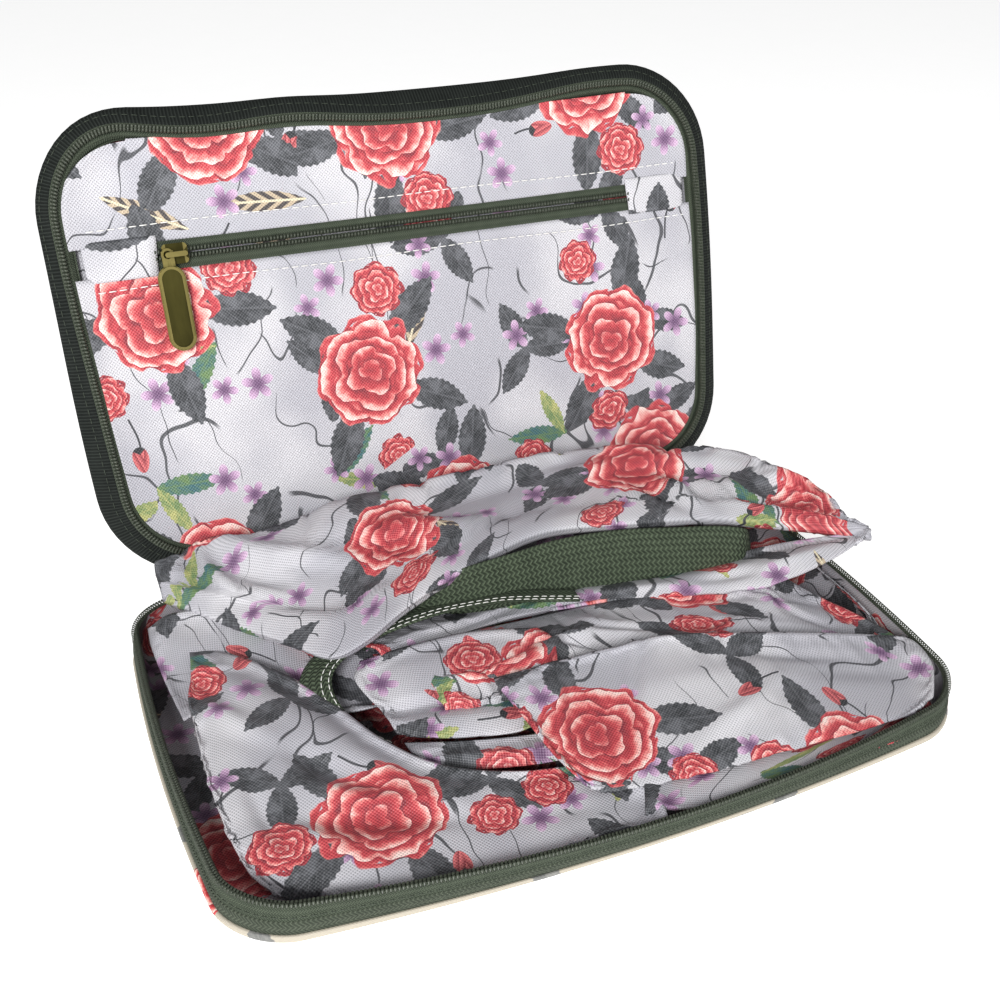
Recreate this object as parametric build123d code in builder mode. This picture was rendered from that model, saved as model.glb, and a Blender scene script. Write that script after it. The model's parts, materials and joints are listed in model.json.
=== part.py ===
from build123d import *
import math
import os

# Zip-round case standing open, with a soft fold-out bag lying folded in its base.
# Millimetres. Origin at the bottom centre of the base, X along the spine, Y towards
# the spine, Z up. The lid stands open and leans back.

os.makedirs("parts", exist_ok=True)

# ---- driving sizes -----------------------------------------------------------
case_width = 280.0        # between the corners of the base, along the spine
case_depth = 182.0        # from the spine to the front corners
base_height = 16.2        # floor to the rim of the base
lid_depth = 14.0          # rim of the lid to its outer face
lid_angle = 104.65        # lid from closed, degrees
hinge_height = 18.7       # line the fabric spine folds on

corner_radius = 22.0      # plan corners of the base
front_bow_floor = 9.0     # the front wall bulges forward, more at the rim than at the floor
front_bow_rim = 17.0
side_bow = 4.9
lid_corner_radius = 38.0
lid_front_dip = 3.3       # the lid's free edge dips in the middle
lid_side_bow = 2.2
lid_hinge_gap = 1.8       # hinge line to the lid's lower edge
lid_bulge = 7.0           # the lid's side is widest this far out from its rim
lid_rim_inset = 7.6       # rim of the lid, in from its widest outline
lid_back_inset = 3.0      # outer face of the lid, in from its widest outline
lid_margin = 1.0          # the lid is this much smaller than the base all round

fabric = 1.0              # coated cloth with its backing
board = 1.5               # stiffening board
board_clearance = 1.4     # from the woven band to the board
lining_drop = 1.6         # top of the lining, below the rim
cover_lip = 3.6           # the base cover turns up this far
band_drop = 6.6           # upper edge of the woven band on the base, below the rim
tape_lap = 2.6            # the zip tape runs behind the band this far
skin_gap = 0.1            # between layers
coil_height = 1.15        # main zip coil above its tape
coil_width = 2.1
spine_half = 104.0        # the spine covers the middle of the rear edge
spine_thickness = 0.8
hinge_clearance = 0.75    # between each half of the spine and the fold line

lining_level = -3.6       # inner face of the lid lining, from the rim of the lid
pocket_gap = 1.9          # flat pocket behind the lid lining
binding_width = 2.6
binding_thickness = 0.5
backing_thickness = 0.6
backing_tuck = 4.0        # the pocket backing runs out into the lid's bulge
panel_thickness = 0.7
tape_thickness = 0.6

pocket_zip_drop = 53.3     # centre of the pocket zip, below the lid's free edge
end_tab_width = 27.0
end_tab_gap = 3.0          # from the end tabs to the lid's side
pocket_tape_width = 5.2    # each side of the coil
pocket_coil_width = 2.1    # each side of the middle
pocket_coil_height = 1.5
zip_middle_gap = 0.7       # between the two sides of the zip, where the slider's web runs
panel_lap = 2.0            # the lining panels lie on the zip tape this far

slider_length = 9.6
slider_width = 7.6
slider_plate = 0.9
slider_clearance = 0.12
slider_web = 0.4
slider_stop = 6.5          # from the end tab to the middle of the pocket slider at rest
slider_end = 1.6           # from the slider's end to its post, and its corner radius
bridge_end = 1.2           # the bridge is this much shorter than the slider
bridge_width = 1.92
main_slider_y = 40.0       # the main slider, from the middle of the base towards the spine
main_slider_gap = 0.55
main_slider_drop = 3.3     # its middle, below the rim
main_slider_width = 5.7
main_pull_droop = 8.0      # degrees below level
post_radius = 0.8
post_height = 2.6
bridge_thickness = 0.9
tab_length = 35.0
tab_width = 10.4
tab_thickness = 1.1
tab_rim = 0.45
tab_rim_inset = 0.4        # the rim, in from the tab's edge
tab_rim_width = 1.0
tab_shortening = 3.0       # the flat part of the tab, without its neck
eye_radius = 1.5
eye_neck = 4.4
eye_lap = 2.0              # the neck runs into the tab this far
eye_wall = 0.9
neck_margin = 0.8          # the neck is wider than the eye by this on each side
neck_shift = 0.6
eye_clearance = 0.15

strap_width = 25.0
strap_thickness = 1.9
strap_bend = 9.0           # radius of the straps' bends
strap_shown = 0.55         # share of the front handle's width that stands out of the bag
strap_lift = 10.0          # lower edge of the front handle, above the rim of the base
strap_rise = 3.0
second_lift = 14.6
second_width = 4.0         # the second handle is folded; this much stands up

bag_clearance = 1.0        # from the lining to the bag
bag_lift = 0.4
bag_drop = 0.9             # top of the bag's lower body, below the rim
section_ease_across = 0.22 # shares of a soft roll that its rounding takes
section_ease_up = 0.38

# ---- frames ------------------------------------------------------------------
half_width = case_width / 2
half_depth = case_depth / 2
band_top = base_height - band_drop
angle = math.radians(lid_angle)
lid_inward = Vector(0, -math.sin(angle), -math.cos(angle))
hinge_point = Vector(0, half_depth, hinge_height)


def lid_plane(level):
    """Plane of the lid: x along the spine, y up the lid, z into the case."""
    return Plane(origin=hinge_point + lid_inward * level, x_dir=(1, 0, 0), z_dir=lid_inward)


def base_outline(inset, height):
    """Plan outline of the base: straight at the spine, bowed on the other sides."""
    x = half_width - inset
    y = half_depth - inset
    front_bow = front_bow_floor + (front_bow_rim - front_bow_floor) * height / base_height
    with BuildSketch(Plane.XY.offset(height)) as outline:
        with BuildLine():
            Line((x, y), (-x, y))
            ThreePointArc((-x, y), (-x - side_bow, 0), (-x, -y))
            ThreePointArc((-x, -y), (0, -y - front_bow), (x, -y))
            ThreePointArc((x, -y), (x + side_bow, 0), (x, y))
        make_face()
        fillet(outline.vertices(), corner_radius - inset)
    return outline.sketch.face()


def base_solid(inset, low, high, mode=Mode.ADD):
    """Body of the base's outline between two heights, following the lean of its front."""
    loft([base_outline(inset, low), base_outline(inset, high)], ruled=True, mode=mode)


def lid_outline(inset, level):
    """Outline of the lid in its own plane, measured up from the hinge line."""
    x = half_width - lid_margin - inset
    low = lid_hinge_gap + lid_margin + inset
    high = case_depth + lid_hinge_gap - lid_margin - inset
    middle = (low + high) / 2
    with BuildSketch(lid_plane(level)) as outline:
        with BuildLine():
            Line((-x, low), (x, low))
            ThreePointArc((x, low), (x + lid_side_bow, middle), (x, high))
            ThreePointArc((x, high), (0, high - lid_front_dip), (-x, high))
            ThreePointArc((-x, high), (-x - lid_side_bow, middle), (-x, low))
        make_face()
        fillet(outline.vertices(), lid_corner_radius - inset)
    return outline.sketch.face()


def lid_solid(stations, mode=Mode.ADD):
    """Body of the lid's outline through (level, inset) stations."""
    loft([lid_outline(inset, level) for level, inset in stations], ruled=True, mode=mode)


def lid_ring(inner, outer, level, thickness, open_at_spine):
    """Flat-topped ring that follows the lid's outline, with a gap for the spine."""
    extrude(lid_outline(outer, level), amount=thickness)
    extrude(lid_outline(inner, level), amount=thickness, mode=Mode.SUBTRACT)
    if open_at_spine:
        with BuildSketch(lid_plane(level)) as gap:
            Rectangle(2 * spine_half, 2 * lid_corner_radius)
        extrude(gap.sketch, amount=thickness, mode=Mode.SUBTRACT)


def lid_patch(x, height, width, length, level):
    """Rectangle in the lid's own plane."""
    with BuildSketch(lid_plane(level)) as patch:
        with Locations((x, height)):
            Rectangle(width, length)
    return patch.sketch


def save(builder, name):
    builder.part.label = name
    export_step(builder.part, f"parts/{name}.step")


def lid_plate(name, inset, outer_level, thickness):
    with BuildPart() as plate:
        extrude(lid_outline(inset, outer_level), amount=thickness)
    save(plate, name)


# ---- base --------------------------------------------------------------------
with BuildPart() as base_cover:
    base_solid(0, 0, cover_lip)
    base_solid(fabric, fabric, cover_lip + fabric, mode=Mode.SUBTRACT)
save(base_cover, "base_cover")

board_low = fabric + skin_gap
board_inset = 2 * fabric + 2 * skin_gap + board_clearance
with BuildPart() as base_stiffener:
    base_solid(board_inset, board_low, board_low + board)
save(base_stiffener, "base_stiffener")

band_inset = fabric + skin_gap
with BuildPart() as base_gusset:
    base_solid(band_inset, board_low, band_top)
    base_solid(band_inset + fabric, board_low - fabric, band_top + fabric, mode=Mode.SUBTRACT)
save(base_gusset, "base_gusset")

tape_inset = band_inset + fabric + skin_gap
tape_low = band_top - tape_lap
with BuildPart() as base_zip_tape:
    base_solid(tape_inset, tape_low, base_height)
    base_solid(tape_inset + fabric, tape_low - fabric, base_height + fabric, mode=Mode.SUBTRACT)
    with Locations((0, half_depth, base_height)):
        Box(2 * spine_half, 2 * corner_radius, 2 * base_height, mode=Mode.SUBTRACT)
save(base_zip_tape, "base_zip_tape")

coil_inset = tape_inset - (coil_width - fabric) / 2
coil_lift = Location((0, 0, skin_gap / 2))
with BuildPart() as base_zip_coil:
    extrude(base_outline(coil_inset, base_height).moved(coil_lift), amount=coil_height)
    inner_edge = base_outline(coil_inset + coil_width, base_height).moved(coil_lift)
    extrude(inner_edge, amount=coil_height, mode=Mode.SUBTRACT)
    with Locations((0, half_depth, base_height)):
        Box(2 * spine_half, 2 * corner_radius, 2 * base_height, mode=Mode.SUBTRACT)
save(base_zip_coil, "base_zip_coil")

lining_inset = tape_inset + fabric + skin_gap
lining_low = board_low + board + skin_gap
lining_wall = 0.8
lining_top = base_height - lining_drop
with BuildPart() as base_lining:
    base_solid(lining_inset, lining_low, lining_top)
    base_solid(lining_inset + lining_wall, lining_low + lining_wall, lining_top + fabric, mode=Mode.SUBTRACT)
save(base_lining, "base_lining")

spine_low_y = half_depth - tape_inset - spine_thickness / 2
with BuildPart() as spine_lower:
    with BuildSketch(Plane.YZ):
        with BuildLine():
            Polyline(
                (spine_low_y, band_top + skin_gap),
                (spine_low_y, base_height),
                (half_depth - spine_thickness, hinge_height - hinge_clearance),
                (half_depth, hinge_height - hinge_clearance),
                (spine_low_y + spine_thickness, base_height),
                (spine_low_y + spine_thickness, band_top + skin_gap),
                close=True,
            )
        make_face()
    extrude(amount=spine_half - 1, both=True)
save(spine_lower, "spine_lower")

# ---- lid shell ---------------------------------------------------------------
def lid_shell(offset):
    """Stations of the lid's side, moved in by an offset and then run past both ends."""
    rim_slope = lid_rim_inset / lid_bulge
    back_slope = lid_back_inset / (lid_depth - lid_bulge)
    past = fabric if offset else 0
    return (
        (-lid_depth - past, lid_back_inset + offset + past * back_slope),
        (-lid_bulge, offset),
        (past, lid_rim_inset + offset + past * rim_slope),
    )


cover_top = -lid_depth + fabric
with BuildPart() as lid_gusset:
    lid_solid(lid_shell(0))
    lid_solid(lid_shell(fabric), mode=Mode.SUBTRACT)
    cover_room = lid_patch(0, half_depth, 2 * case_width, 2 * case_depth, -lid_depth - fabric)
    extrude(cover_room, amount=2 * fabric + skin_gap, mode=Mode.SUBTRACT)
save(lid_gusset, "lid_gusset")

lid_plate("lid_cover", lid_back_inset - fabric / 2, -lid_depth, fabric)
inner_inset = lid_back_inset + 2 * fabric
board_level = cover_top + skin_gap
lid_plate("lid_stiffener", inner_inset, board_level, board)
foam_level = board_level + board + skin_gap
panel_level = lining_level - panel_thickness
backing_level = panel_level - pocket_gap - backing_thickness
lid_plate("lid_padding", inner_inset, foam_level, backing_level - skin_gap - foam_level)
well_inset = lid_rim_inset + fabric + 4 * skin_gap
lid_plate("pocket_backing", well_inset - backing_tuck, backing_level, backing_thickness)

tape_low_level = lining_level + skin_gap
with BuildPart() as lid_zip_tape:
    lid_ring(well_inset + fabric, well_inset, tape_low_level, -tape_low_level, True)
save(lid_zip_tape, "lid_zip_tape")

lid_coil_inset = well_inset - (coil_width - fabric) / 2
with BuildPart() as lid_zip_coil:
    lid_ring(lid_coil_inset + coil_width, lid_coil_inset, skin_gap / 2, coil_height, True)
save(lid_zip_coil, "lid_zip_coil")

binding_inset = well_inset + fabric + skin_gap
with BuildPart() as lid_binding:
    lid_ring(binding_inset + binding_width, binding_inset, lining_level + skin_gap, binding_thickness, False)
save(lid_binding, "lid_binding")

spine_top = lid_hinge_gap + lid_margin + lid_rim_inset * (1 - spine_thickness / lid_bulge) - skin_gap
with BuildPart() as spine_upper:
    spine_patch = lid_patch(
        0, (hinge_clearance + spine_top) / 2, 2 * spine_half - 2, spine_top - hinge_clearance, 0
    )
    extrude(spine_patch, amount=-spine_thickness)
save(spine_upper, "spine_upper")

# ---- pocket in the lid -------------------------------------------------------
panel_inset = well_inset + skin_gap
pocket_zip_height = case_depth + lid_hinge_gap - lid_margin - pocket_zip_drop
pocket_zip_half = half_width - lid_margin - well_inset - end_tab_gap
slider_rest = pocket_zip_half - end_tab_width - slider_stop
tape_bottom = pocket_zip_height - pocket_coil_width - pocket_tape_width
tape_top = pocket_zip_height + pocket_coil_width + pocket_tape_width


def pocket_panel(name, low, high):
    """Part of the lid lining between two heights up the lid."""
    with BuildPart() as panel:
        extrude(lid_outline(panel_inset, panel_level), amount=panel_thickness)
        strip = lid_patch(0, (low + high) / 2, 2 * case_width, high - low, panel_level)
        extrude(strip, amount=panel_thickness, mode=Mode.INTERSECT)
    save(panel, name)


pocket_panel("pocket_lower_panel", 0, tape_bottom + panel_lap)
pocket_panel("pocket_upper_panel", tape_top - panel_lap, case_depth * 2)

tape_level = panel_level - tape_thickness - skin_gap / 2
tape_half = pocket_zip_half - end_tab_width / 3


def zip_side(name, side, inner, outer, level, thickness, half):
    """One long strip of the pocket zip, above or below its middle."""
    with BuildPart() as strip:
        height = pocket_zip_height + side * (inner + outer) / 2
        extrude(lid_patch(0, height, 2 * half, outer - inner, level), amount=thickness)
    save(strip, name)


coil_level = tape_level + tape_thickness + skin_gap / 2
coil_half = tape_half - skin_gap
middle = zip_middle_gap / 2
tape_outer = pocket_coil_width + pocket_tape_width
for side, word in ((1, "upper"), (-1, "lower")):
    zip_side(f"pocket_tape_{word}", side, middle, tape_outer, tape_level, tape_thickness, tape_half)
    zip_side(
        f"pocket_coil_{word}", side, middle, pocket_coil_width, coil_level, pocket_coil_height, coil_half
    )

tab_level = coil_level + pocket_coil_height + skin_gap
end_tab_height = 2 * tape_outer - 1.0
for side, word in ((-1, "left"), (1, "right")):
    with BuildPart() as end_tab:
        tab_x = side * (pocket_zip_half - end_tab_width / 2)
        tab_patch = lid_patch(tab_x, pocket_zip_height, end_tab_width, end_tab_height, tab_level)
        extrude(tab_patch, amount=panel_thickness)
    save(end_tab, f"pocket_end_{word}")

# ---- pocket slider and its pull tab ------------------------------------------
# The top plate rides over the coil and the bottom plate under the tape. A thin web
# joins them through the gap between the two sides of the zip.
top_plate_level = coil_level + pocket_coil_height + slider_clearance
bottom_plate_level = tape_level - slider_clearance - slider_plate
post_level = top_plate_level + slider_plate
slider_x = -slider_rest
post_x = slider_x - slider_length / 2 + slider_end
arch_level = post_level + post_height
with BuildPart() as pocket_slider:
    for level in (bottom_plate_level, top_plate_level):
        with BuildSketch(lid_plane(level)):
            with Locations((slider_x, pocket_zip_height)):
                RectangleRounded(slider_length, slider_width, slider_end)
        extrude(amount=slider_plate)
    with BuildSketch(lid_plane(bottom_plate_level)):
        with Locations((slider_x, pocket_zip_height)):
            Rectangle(slider_length - 3.2, slider_web)
    extrude(amount=post_level - bottom_plate_level)
    with BuildSketch(lid_plane(post_level)):
        far_post_x = slider_x + slider_length / 2 - slider_end
        with Locations((post_x, pocket_zip_height), (far_post_x, pocket_zip_height)):
            Circle(post_radius)
    extrude(amount=post_height)
    with BuildSketch(lid_plane(arch_level)):
        with Locations((slider_x, pocket_zip_height)):
            SlotOverall(slider_length - bridge_end, bridge_width)
    extrude(amount=bridge_thickness)
save(pocket_slider, "pocket_slider")

eye_plane = lid_plane(post_level + (post_height - tab_thickness) / 2)


def pull_tab(plane):
    """Long tab with rounded ends, a raised rim and a narrow neck with its eye.

    The eye is at the plane's origin and the tab hangs along the plane's -Y.
    """
    tab_body = tab_length - tab_shortening
    rim_outer = 2 * tab_rim_inset
    rim_inner = rim_outer + 2 * tab_rim_width
    tab_middle = -eye_neck - tab_length / 2 + eye_lap
    with BuildSketch(plane) as flat:
        with Locations((0, tab_middle)):
            SlotOverall(tab_body, tab_width, rotation=90)
        with Locations((0, -eye_neck / 2 - neck_shift)):
            Rectangle(2 * eye_radius + 2 * neck_margin, eye_neck + 2 * eye_lap)
        Circle(eye_radius + eye_wall)
        Circle(eye_radius, mode=Mode.SUBTRACT)
    extrude(flat.sketch, amount=tab_thickness)
    with BuildSketch(plane.offset(tab_thickness)) as rim:
        with Locations((0, tab_middle)):
            SlotOverall(tab_body - rim_outer, tab_width - rim_outer, rotation=90)
            SlotOverall(tab_body - rim_inner, tab_width - rim_inner, rotation=90, mode=Mode.SUBTRACT)
    extrude(rim.sketch, amount=tab_rim)


with BuildPart() as pocket_pull_tab:
    pull_tab(Plane(origin=eye_plane.from_local_coords((post_x, pocket_zip_height, 0)),
                   x_dir=eye_plane.x_dir, z_dir=eye_plane.z_dir))
save(pocket_pull_tab, "pocket_pull_tab")

# ---- main zip slider ---------------------------------------------------------
# Parked at the open end of the zip, outside the right wall near the spine. Its pull
# lies back along the wall, drooping a little, outside the band and the cover's lip.
wall_x = half_width - tape_inset + side_bow * (1 - (main_slider_y / half_depth) ** 2)
main_plane = Plane(
    origin=(wall_x + main_slider_gap, main_slider_y, base_height - main_slider_drop),
    x_dir=(0, 1, 0),
    z_dir=(1, 0, 0),
)
main_post = slider_length / 2 - slider_end
with BuildPart() as main_slider:
    with BuildSketch(main_plane):
        RectangleRounded(slider_length, main_slider_width, slider_end)
    extrude(amount=slider_plate)
    with BuildSketch(main_plane.offset(slider_plate)):
        with Locations((main_post, 0), (-main_post, 0)):
            Circle(post_radius)
    extrude(amount=post_height)
    with BuildSketch(main_plane.offset(slider_plate + post_height)):
        SlotOverall(slider_length - bridge_end, bridge_width)
    extrude(amount=bridge_thickness)
save(main_slider, "main_slider")

droop = math.radians(main_pull_droop)
main_eye_level = slider_plate + post_height - tab_thickness - eye_clearance
main_tab_plane = Plane(
    origin=main_plane.from_local_coords((main_post, 0, main_eye_level)),
    x_dir=(0, math.sin(droop), math.cos(droop)),
    z_dir=(1, 0, 0),
)
with BuildPart() as main_pull_tab:
    pull_tab(main_tab_plane)
save(main_pull_tab, "main_pull_tab")

# ---- soft bag ----------------------------------------------------------------
# Each piece is a soft roll: sections across the bag at stations along X. A station is
# (x, front, back, underside, top), with x and y as shares of the room in the base and
# heights in millimetres above the rim of the base.
bag_inset = lining_inset + lining_wall + bag_clearance
room_x = half_width - bag_inset
room_y = half_depth - bag_inset
room_top = base_height - bag_drop
bag_floor = lining_low + lining_wall + bag_lift


def soft_section(front, back, low, high):
    """Rounded section of a soft roll: flat under, full in the middle."""
    ease_y = section_ease_across * (back - front)
    ease_z = section_ease_up * (high - low)
    return [
        (front + ease_y, low),
        (back - ease_y, low),
        (back, low + ease_z),
        (back, high - ease_z),
        (back - ease_y, high),
        (front + ease_y, high),
        (front, high - ease_z),
        (front, low + ease_z),
    ]


def soft_roll(name, stations):
    with BuildPart() as roll:
        for x_share, front, back, low, high in stations:
            with BuildSketch(Plane.YZ.offset(x_share * room_x)):
                with BuildLine():
                    points = soft_section(
                        front * room_y, back * room_y, base_height + low, base_height + high
                    )
                    Polyline(*points, close=True)
                make_face()
        loft(ruled=True)
    save(roll, name)


with BuildPart() as bag_lower_body:
    base_solid(bag_inset, bag_floor, room_top)
save(bag_lower_body, "bag_lower_body")

soft_roll("bag_front_panel", [
    (-0.97, -0.70, 0.60, -0.6, 3.0),
    (-0.90, -0.96, 0.72, -0.6, 9.0),
    (-0.72, -1.06, 0.50, -0.6, 10.5),
    (-0.62, -1.08, 0.10, -0.6, 9.5),
    (-0.58, -1.09, -0.68, -0.6, 7.0),
    (-0.36, -1.12, -0.66, -0.6, 4.0),
    (-0.14, -1.13, -0.74, -0.6, 2.6),
])
soft_roll("bag_mid_fold", [
    (-0.56, -0.44, 0.10, 1.0, 8.0),
    (-0.48, -0.56, 0.20, -0.4, 11.5),
    (-0.34, -0.60, 0.22, -0.4, 12.0),
    (-0.20, -0.62, 0.22, -0.4, 12.5),
])
soft_roll("bag_side_fold", [
    (-0.17, -0.70, -0.34, -0.4, 9.0),
    (0.04, -1.06, -0.40, -0.4, 13.0),
    (0.30, -1.08, -0.42, -0.4, 13.5),
    (0.62, -1.04, -0.44, -0.4, 11.0),
    (0.92, -0.98, -0.46, -0.4, 4.0),
])
soft_roll("bag_right_panel", [
    (-0.17, -0.32, 0.22, -0.4, 10.0),
    (0.20, -0.39, 0.24, -0.4, 11.5),
    (0.55, -0.41, 0.10, -0.4, 12.0),
    (0.86, -0.43, -0.06, -0.4, 11.0),
    (0.98, -0.42, -0.12, -0.4, 5.0),
])
soft_roll("bag_lower_lip", [
    (-0.17, -0.04, 0.22, 10.6, 13.6),
    (0.22, -0.02, 0.24, 12.2, 15.4),
    (0.58, -0.10, 0.16, 12.8, 17.0),
    (0.86, -0.18, 0.04, 13.2, 20.0),
])
soft_roll("bag_upper_flap", [
    (-0.96, 0.66, 1.02, 12.4, 18.8),
    (-0.84, 0.40, 1.06, 12.4, 22.0),
    (-0.64, 0.12, 1.06, 12.4, 28.0),
    (-0.50, 0.20, 1.06, 13.0, 32.0),
    (-0.10, 0.52, 1.06, 14.0, 34.0),
    (0.30, 0.54, 1.06, 18.0, 36.0),
    (0.65, 0.44, 0.94, 22.0, 37.0),
    (0.92, 0.22, 0.62, 22.0, 36.0),
    (1.12, -0.02, 0.08, 19.0, 23.0),
])

# ---- webbing handles ---------------------------------------------------------


def webbing(name, points, width_dir, width, thickness):
    """Flat strap whose middle line follows the points."""
    with BuildPart() as strap:
        with BuildLine() as route:
            FilletPolyline(*points, radius=strap_bend)
        start = route.line @ 0
        tangent = route.line % 0
        with BuildSketch(Plane(origin=start, x_dir=width_dir, z_dir=tangent)):
            Rectangle(width, thickness)
        sweep(path=route.line)
    save(strap, name)


strap_low = base_height + strap_lift
handle_height = strap_low + strap_width / 2 + strap_rise
webbing(
    "front_handle",
    [
        (-0.30 * room_x, 0.25 * room_y, handle_height),
        (0.05 * room_x, 0.33 * room_y, handle_height),
        (0.40 * room_x, 0.31 * room_y, handle_height),
        (0.78 * room_x, 0.13 * room_y, handle_height),
    ],
    (0, 0, 1),
    strap_width * strap_shown,
    strap_thickness,
)
second_height = base_height + second_lift
webbing(
    "second_handle",
    [
        (-0.52 * room_x, -0.30 * room_y, second_height),
        (-0.55 * room_x, 0.02 * room_y, second_height),
        (-0.40 * room_x, 0.16 * room_y, second_height),
        (-0.21 * room_x, 0.14 * room_y, second_height),
    ],
    (0, 0, 1),
    second_width,
    strap_thickness,
)
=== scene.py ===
import json
import math

import bpy
import numpy as np
from mathutils import Matrix, Vector


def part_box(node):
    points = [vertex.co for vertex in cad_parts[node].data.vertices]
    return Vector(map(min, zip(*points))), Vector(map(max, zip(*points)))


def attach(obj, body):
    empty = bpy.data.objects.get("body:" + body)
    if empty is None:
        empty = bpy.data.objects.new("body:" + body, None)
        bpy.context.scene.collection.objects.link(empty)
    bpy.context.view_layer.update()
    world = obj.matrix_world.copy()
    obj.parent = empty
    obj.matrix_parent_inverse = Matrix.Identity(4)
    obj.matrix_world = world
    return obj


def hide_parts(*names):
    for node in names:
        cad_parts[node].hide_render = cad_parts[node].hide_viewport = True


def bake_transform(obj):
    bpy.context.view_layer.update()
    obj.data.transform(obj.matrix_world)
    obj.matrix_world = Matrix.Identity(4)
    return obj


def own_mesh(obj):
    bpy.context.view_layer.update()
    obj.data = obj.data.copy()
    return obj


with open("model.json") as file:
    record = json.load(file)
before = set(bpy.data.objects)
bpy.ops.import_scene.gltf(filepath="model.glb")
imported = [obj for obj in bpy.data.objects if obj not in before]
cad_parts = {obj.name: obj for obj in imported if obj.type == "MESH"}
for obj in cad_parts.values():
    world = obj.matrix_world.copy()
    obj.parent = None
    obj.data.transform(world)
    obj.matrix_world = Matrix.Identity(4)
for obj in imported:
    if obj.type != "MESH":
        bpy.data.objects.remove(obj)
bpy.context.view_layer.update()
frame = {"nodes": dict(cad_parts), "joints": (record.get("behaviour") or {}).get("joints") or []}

MM = 0.001


# ---- shader expressions --------------------------------------------------------
class Sock:
    """A shader socket that takes part in Python arithmetic."""

    def __init__(self, shade, socket):
        self.shade = shade
        self.socket = socket

    def __add__(self, other):
        return self.shade.math("ADD", self, other)

    def __sub__(self, other):
        return self.shade.math("SUBTRACT", self, other)

    def __mul__(self, other):
        return self.shade.math("MULTIPLY", self, other)

    def __truediv__(self, other):
        return self.shade.math("DIVIDE", self, other)

    def __pow__(self, other):
        return self.shade.math("POWER", self, other)

    def __radd__(self, other):
        return self.shade.math("ADD", other, self)

    def __rsub__(self, other):
        return self.shade.math("SUBTRACT", other, self)

    def __rmul__(self, other):
        return self.shade.math("MULTIPLY", other, self)

    def __rtruediv__(self, other):
        return self.shade.math("DIVIDE", other, self)

    def __neg__(self):
        return self.shade.math("MULTIPLY", self, -1.0)

    def __abs__(self):
        return self.shade.math("ABSOLUTE", self)


class Shade:
    """Builds one material's nodes."""

    def __init__(self, name):
        self.material = bpy.data.materials.new(name)
        self.material.use_nodes = True
        self.tree = self.material.node_tree
        self.bsdf = self.tree.nodes["Principled BSDF"]

    def node(self, kind, settings=None, **inputs):
        """Adds a node: its settings first, then its inputs by name or by number (as in_0)."""
        made = self.tree.nodes.new("ShaderNode" + kind)
        for key, value in (settings or {}).items():
            if key == "stops":
                self.set_stops(made.color_ramp, value)
            else:
                setattr(made, key, value)
        for key, value in inputs.items():
            name = int(key[3:]) if key.startswith("in_") else key.replace("_", " ")
            self.feed(made.inputs[name], value)
        return made

    def set_stops(self, ramp, stops):
        while len(ramp.elements) < len(stops):
            ramp.elements.new(0.5)
        for element, (place, colour) in zip(ramp.elements, stops):
            element.position = place
            element.color = (*colour, 1.0)

    def feed(self, socket, value):
        if isinstance(value, Sock):
            self.tree.links.new(value.socket, socket)
        elif isinstance(value, tuple) and len(value) == 3 and len(getattr(socket, "default_value", ())) == 4:
            socket.default_value = (*value, 1.0)
        else:
            socket.default_value = value

    def out(self, node, name=0):
        return Sock(self, node.outputs[name])

    def math(self, operation, a, b=0.0, clamp=False):
        return self.out(self.node("Math", {"operation": operation, "use_clamp": clamp}, in_0=a, in_1=b))

    def smooth(self, value, low, high):
        """0 below low, 1 above high, smooth between; low may be the larger one."""
        if not isinstance(low, Sock) and not isinstance(high, Sock) and low > high:
            return self.smooth(value, high, low).flipped()
        node = self.node("MapRange", {"interpolation_type": "SMOOTHSTEP"}, Value=value)
        self.feed(node.inputs["From Min"], low)
        self.feed(node.inputs["From Max"], high)
        return self.out(node, "Result")

    def mix(self, factor, a, b):
        """Colour a where factor is 0, colour b where it is 1."""
        node = self.node("Mix", {"data_type": "RGBA"})
        self.feed(node.inputs[0], factor)
        self.feed(node.inputs[6], a)
        self.feed(node.inputs[7], b)
        return Sock(self, node.outputs[2])

    def split(self, vector):
        node = self.node("SeparateXYZ", in_0=vector)
        return self.out(node, 0), self.out(node, 1)

    def shift(self, vector, by):
        return self.out(self.node("VectorMath", {"operation": "ADD"}, in_0=vector, in_1=by))

    def scaled(self, vector, by):
        node = self.node("VectorMath", {"operation": "SCALE"}, in_0=vector)
        self.feed(node.inputs["Scale"], by)
        return self.out(node)

    def noise(self, vector, scale, detail=2.0, roughness=0.5, output=0):
        node = self.node(
            "TexNoise", {"noise_dimensions": "2D"},
            Vector=vector, Scale=scale, Detail=detail, Roughness=roughness
        )
        return self.out(node, output)

    def finish(self, colour, roughness, height=None, strength=0.4, distance=0.0003, **constants):
        """Feeds the shader: varying inputs through links, constants on the sockets."""
        self.feed(self.bsdf.inputs["Base Color"], colour)
        self.feed(self.bsdf.inputs["Roughness"], roughness)
        if height is not None:
            bump = self.node("Bump", Height=height, Strength=strength, Distance=distance)
            self.tree.links.new(bump.outputs[0], self.bsdf.inputs["Normal"])
        for key, value in constants.items():
            self.feed(self.bsdf.inputs[key.replace("_", " ")], value)
        return self.material


def flipped(sock):
    return 1.0 - sock


Sock.flipped = flipped


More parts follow.
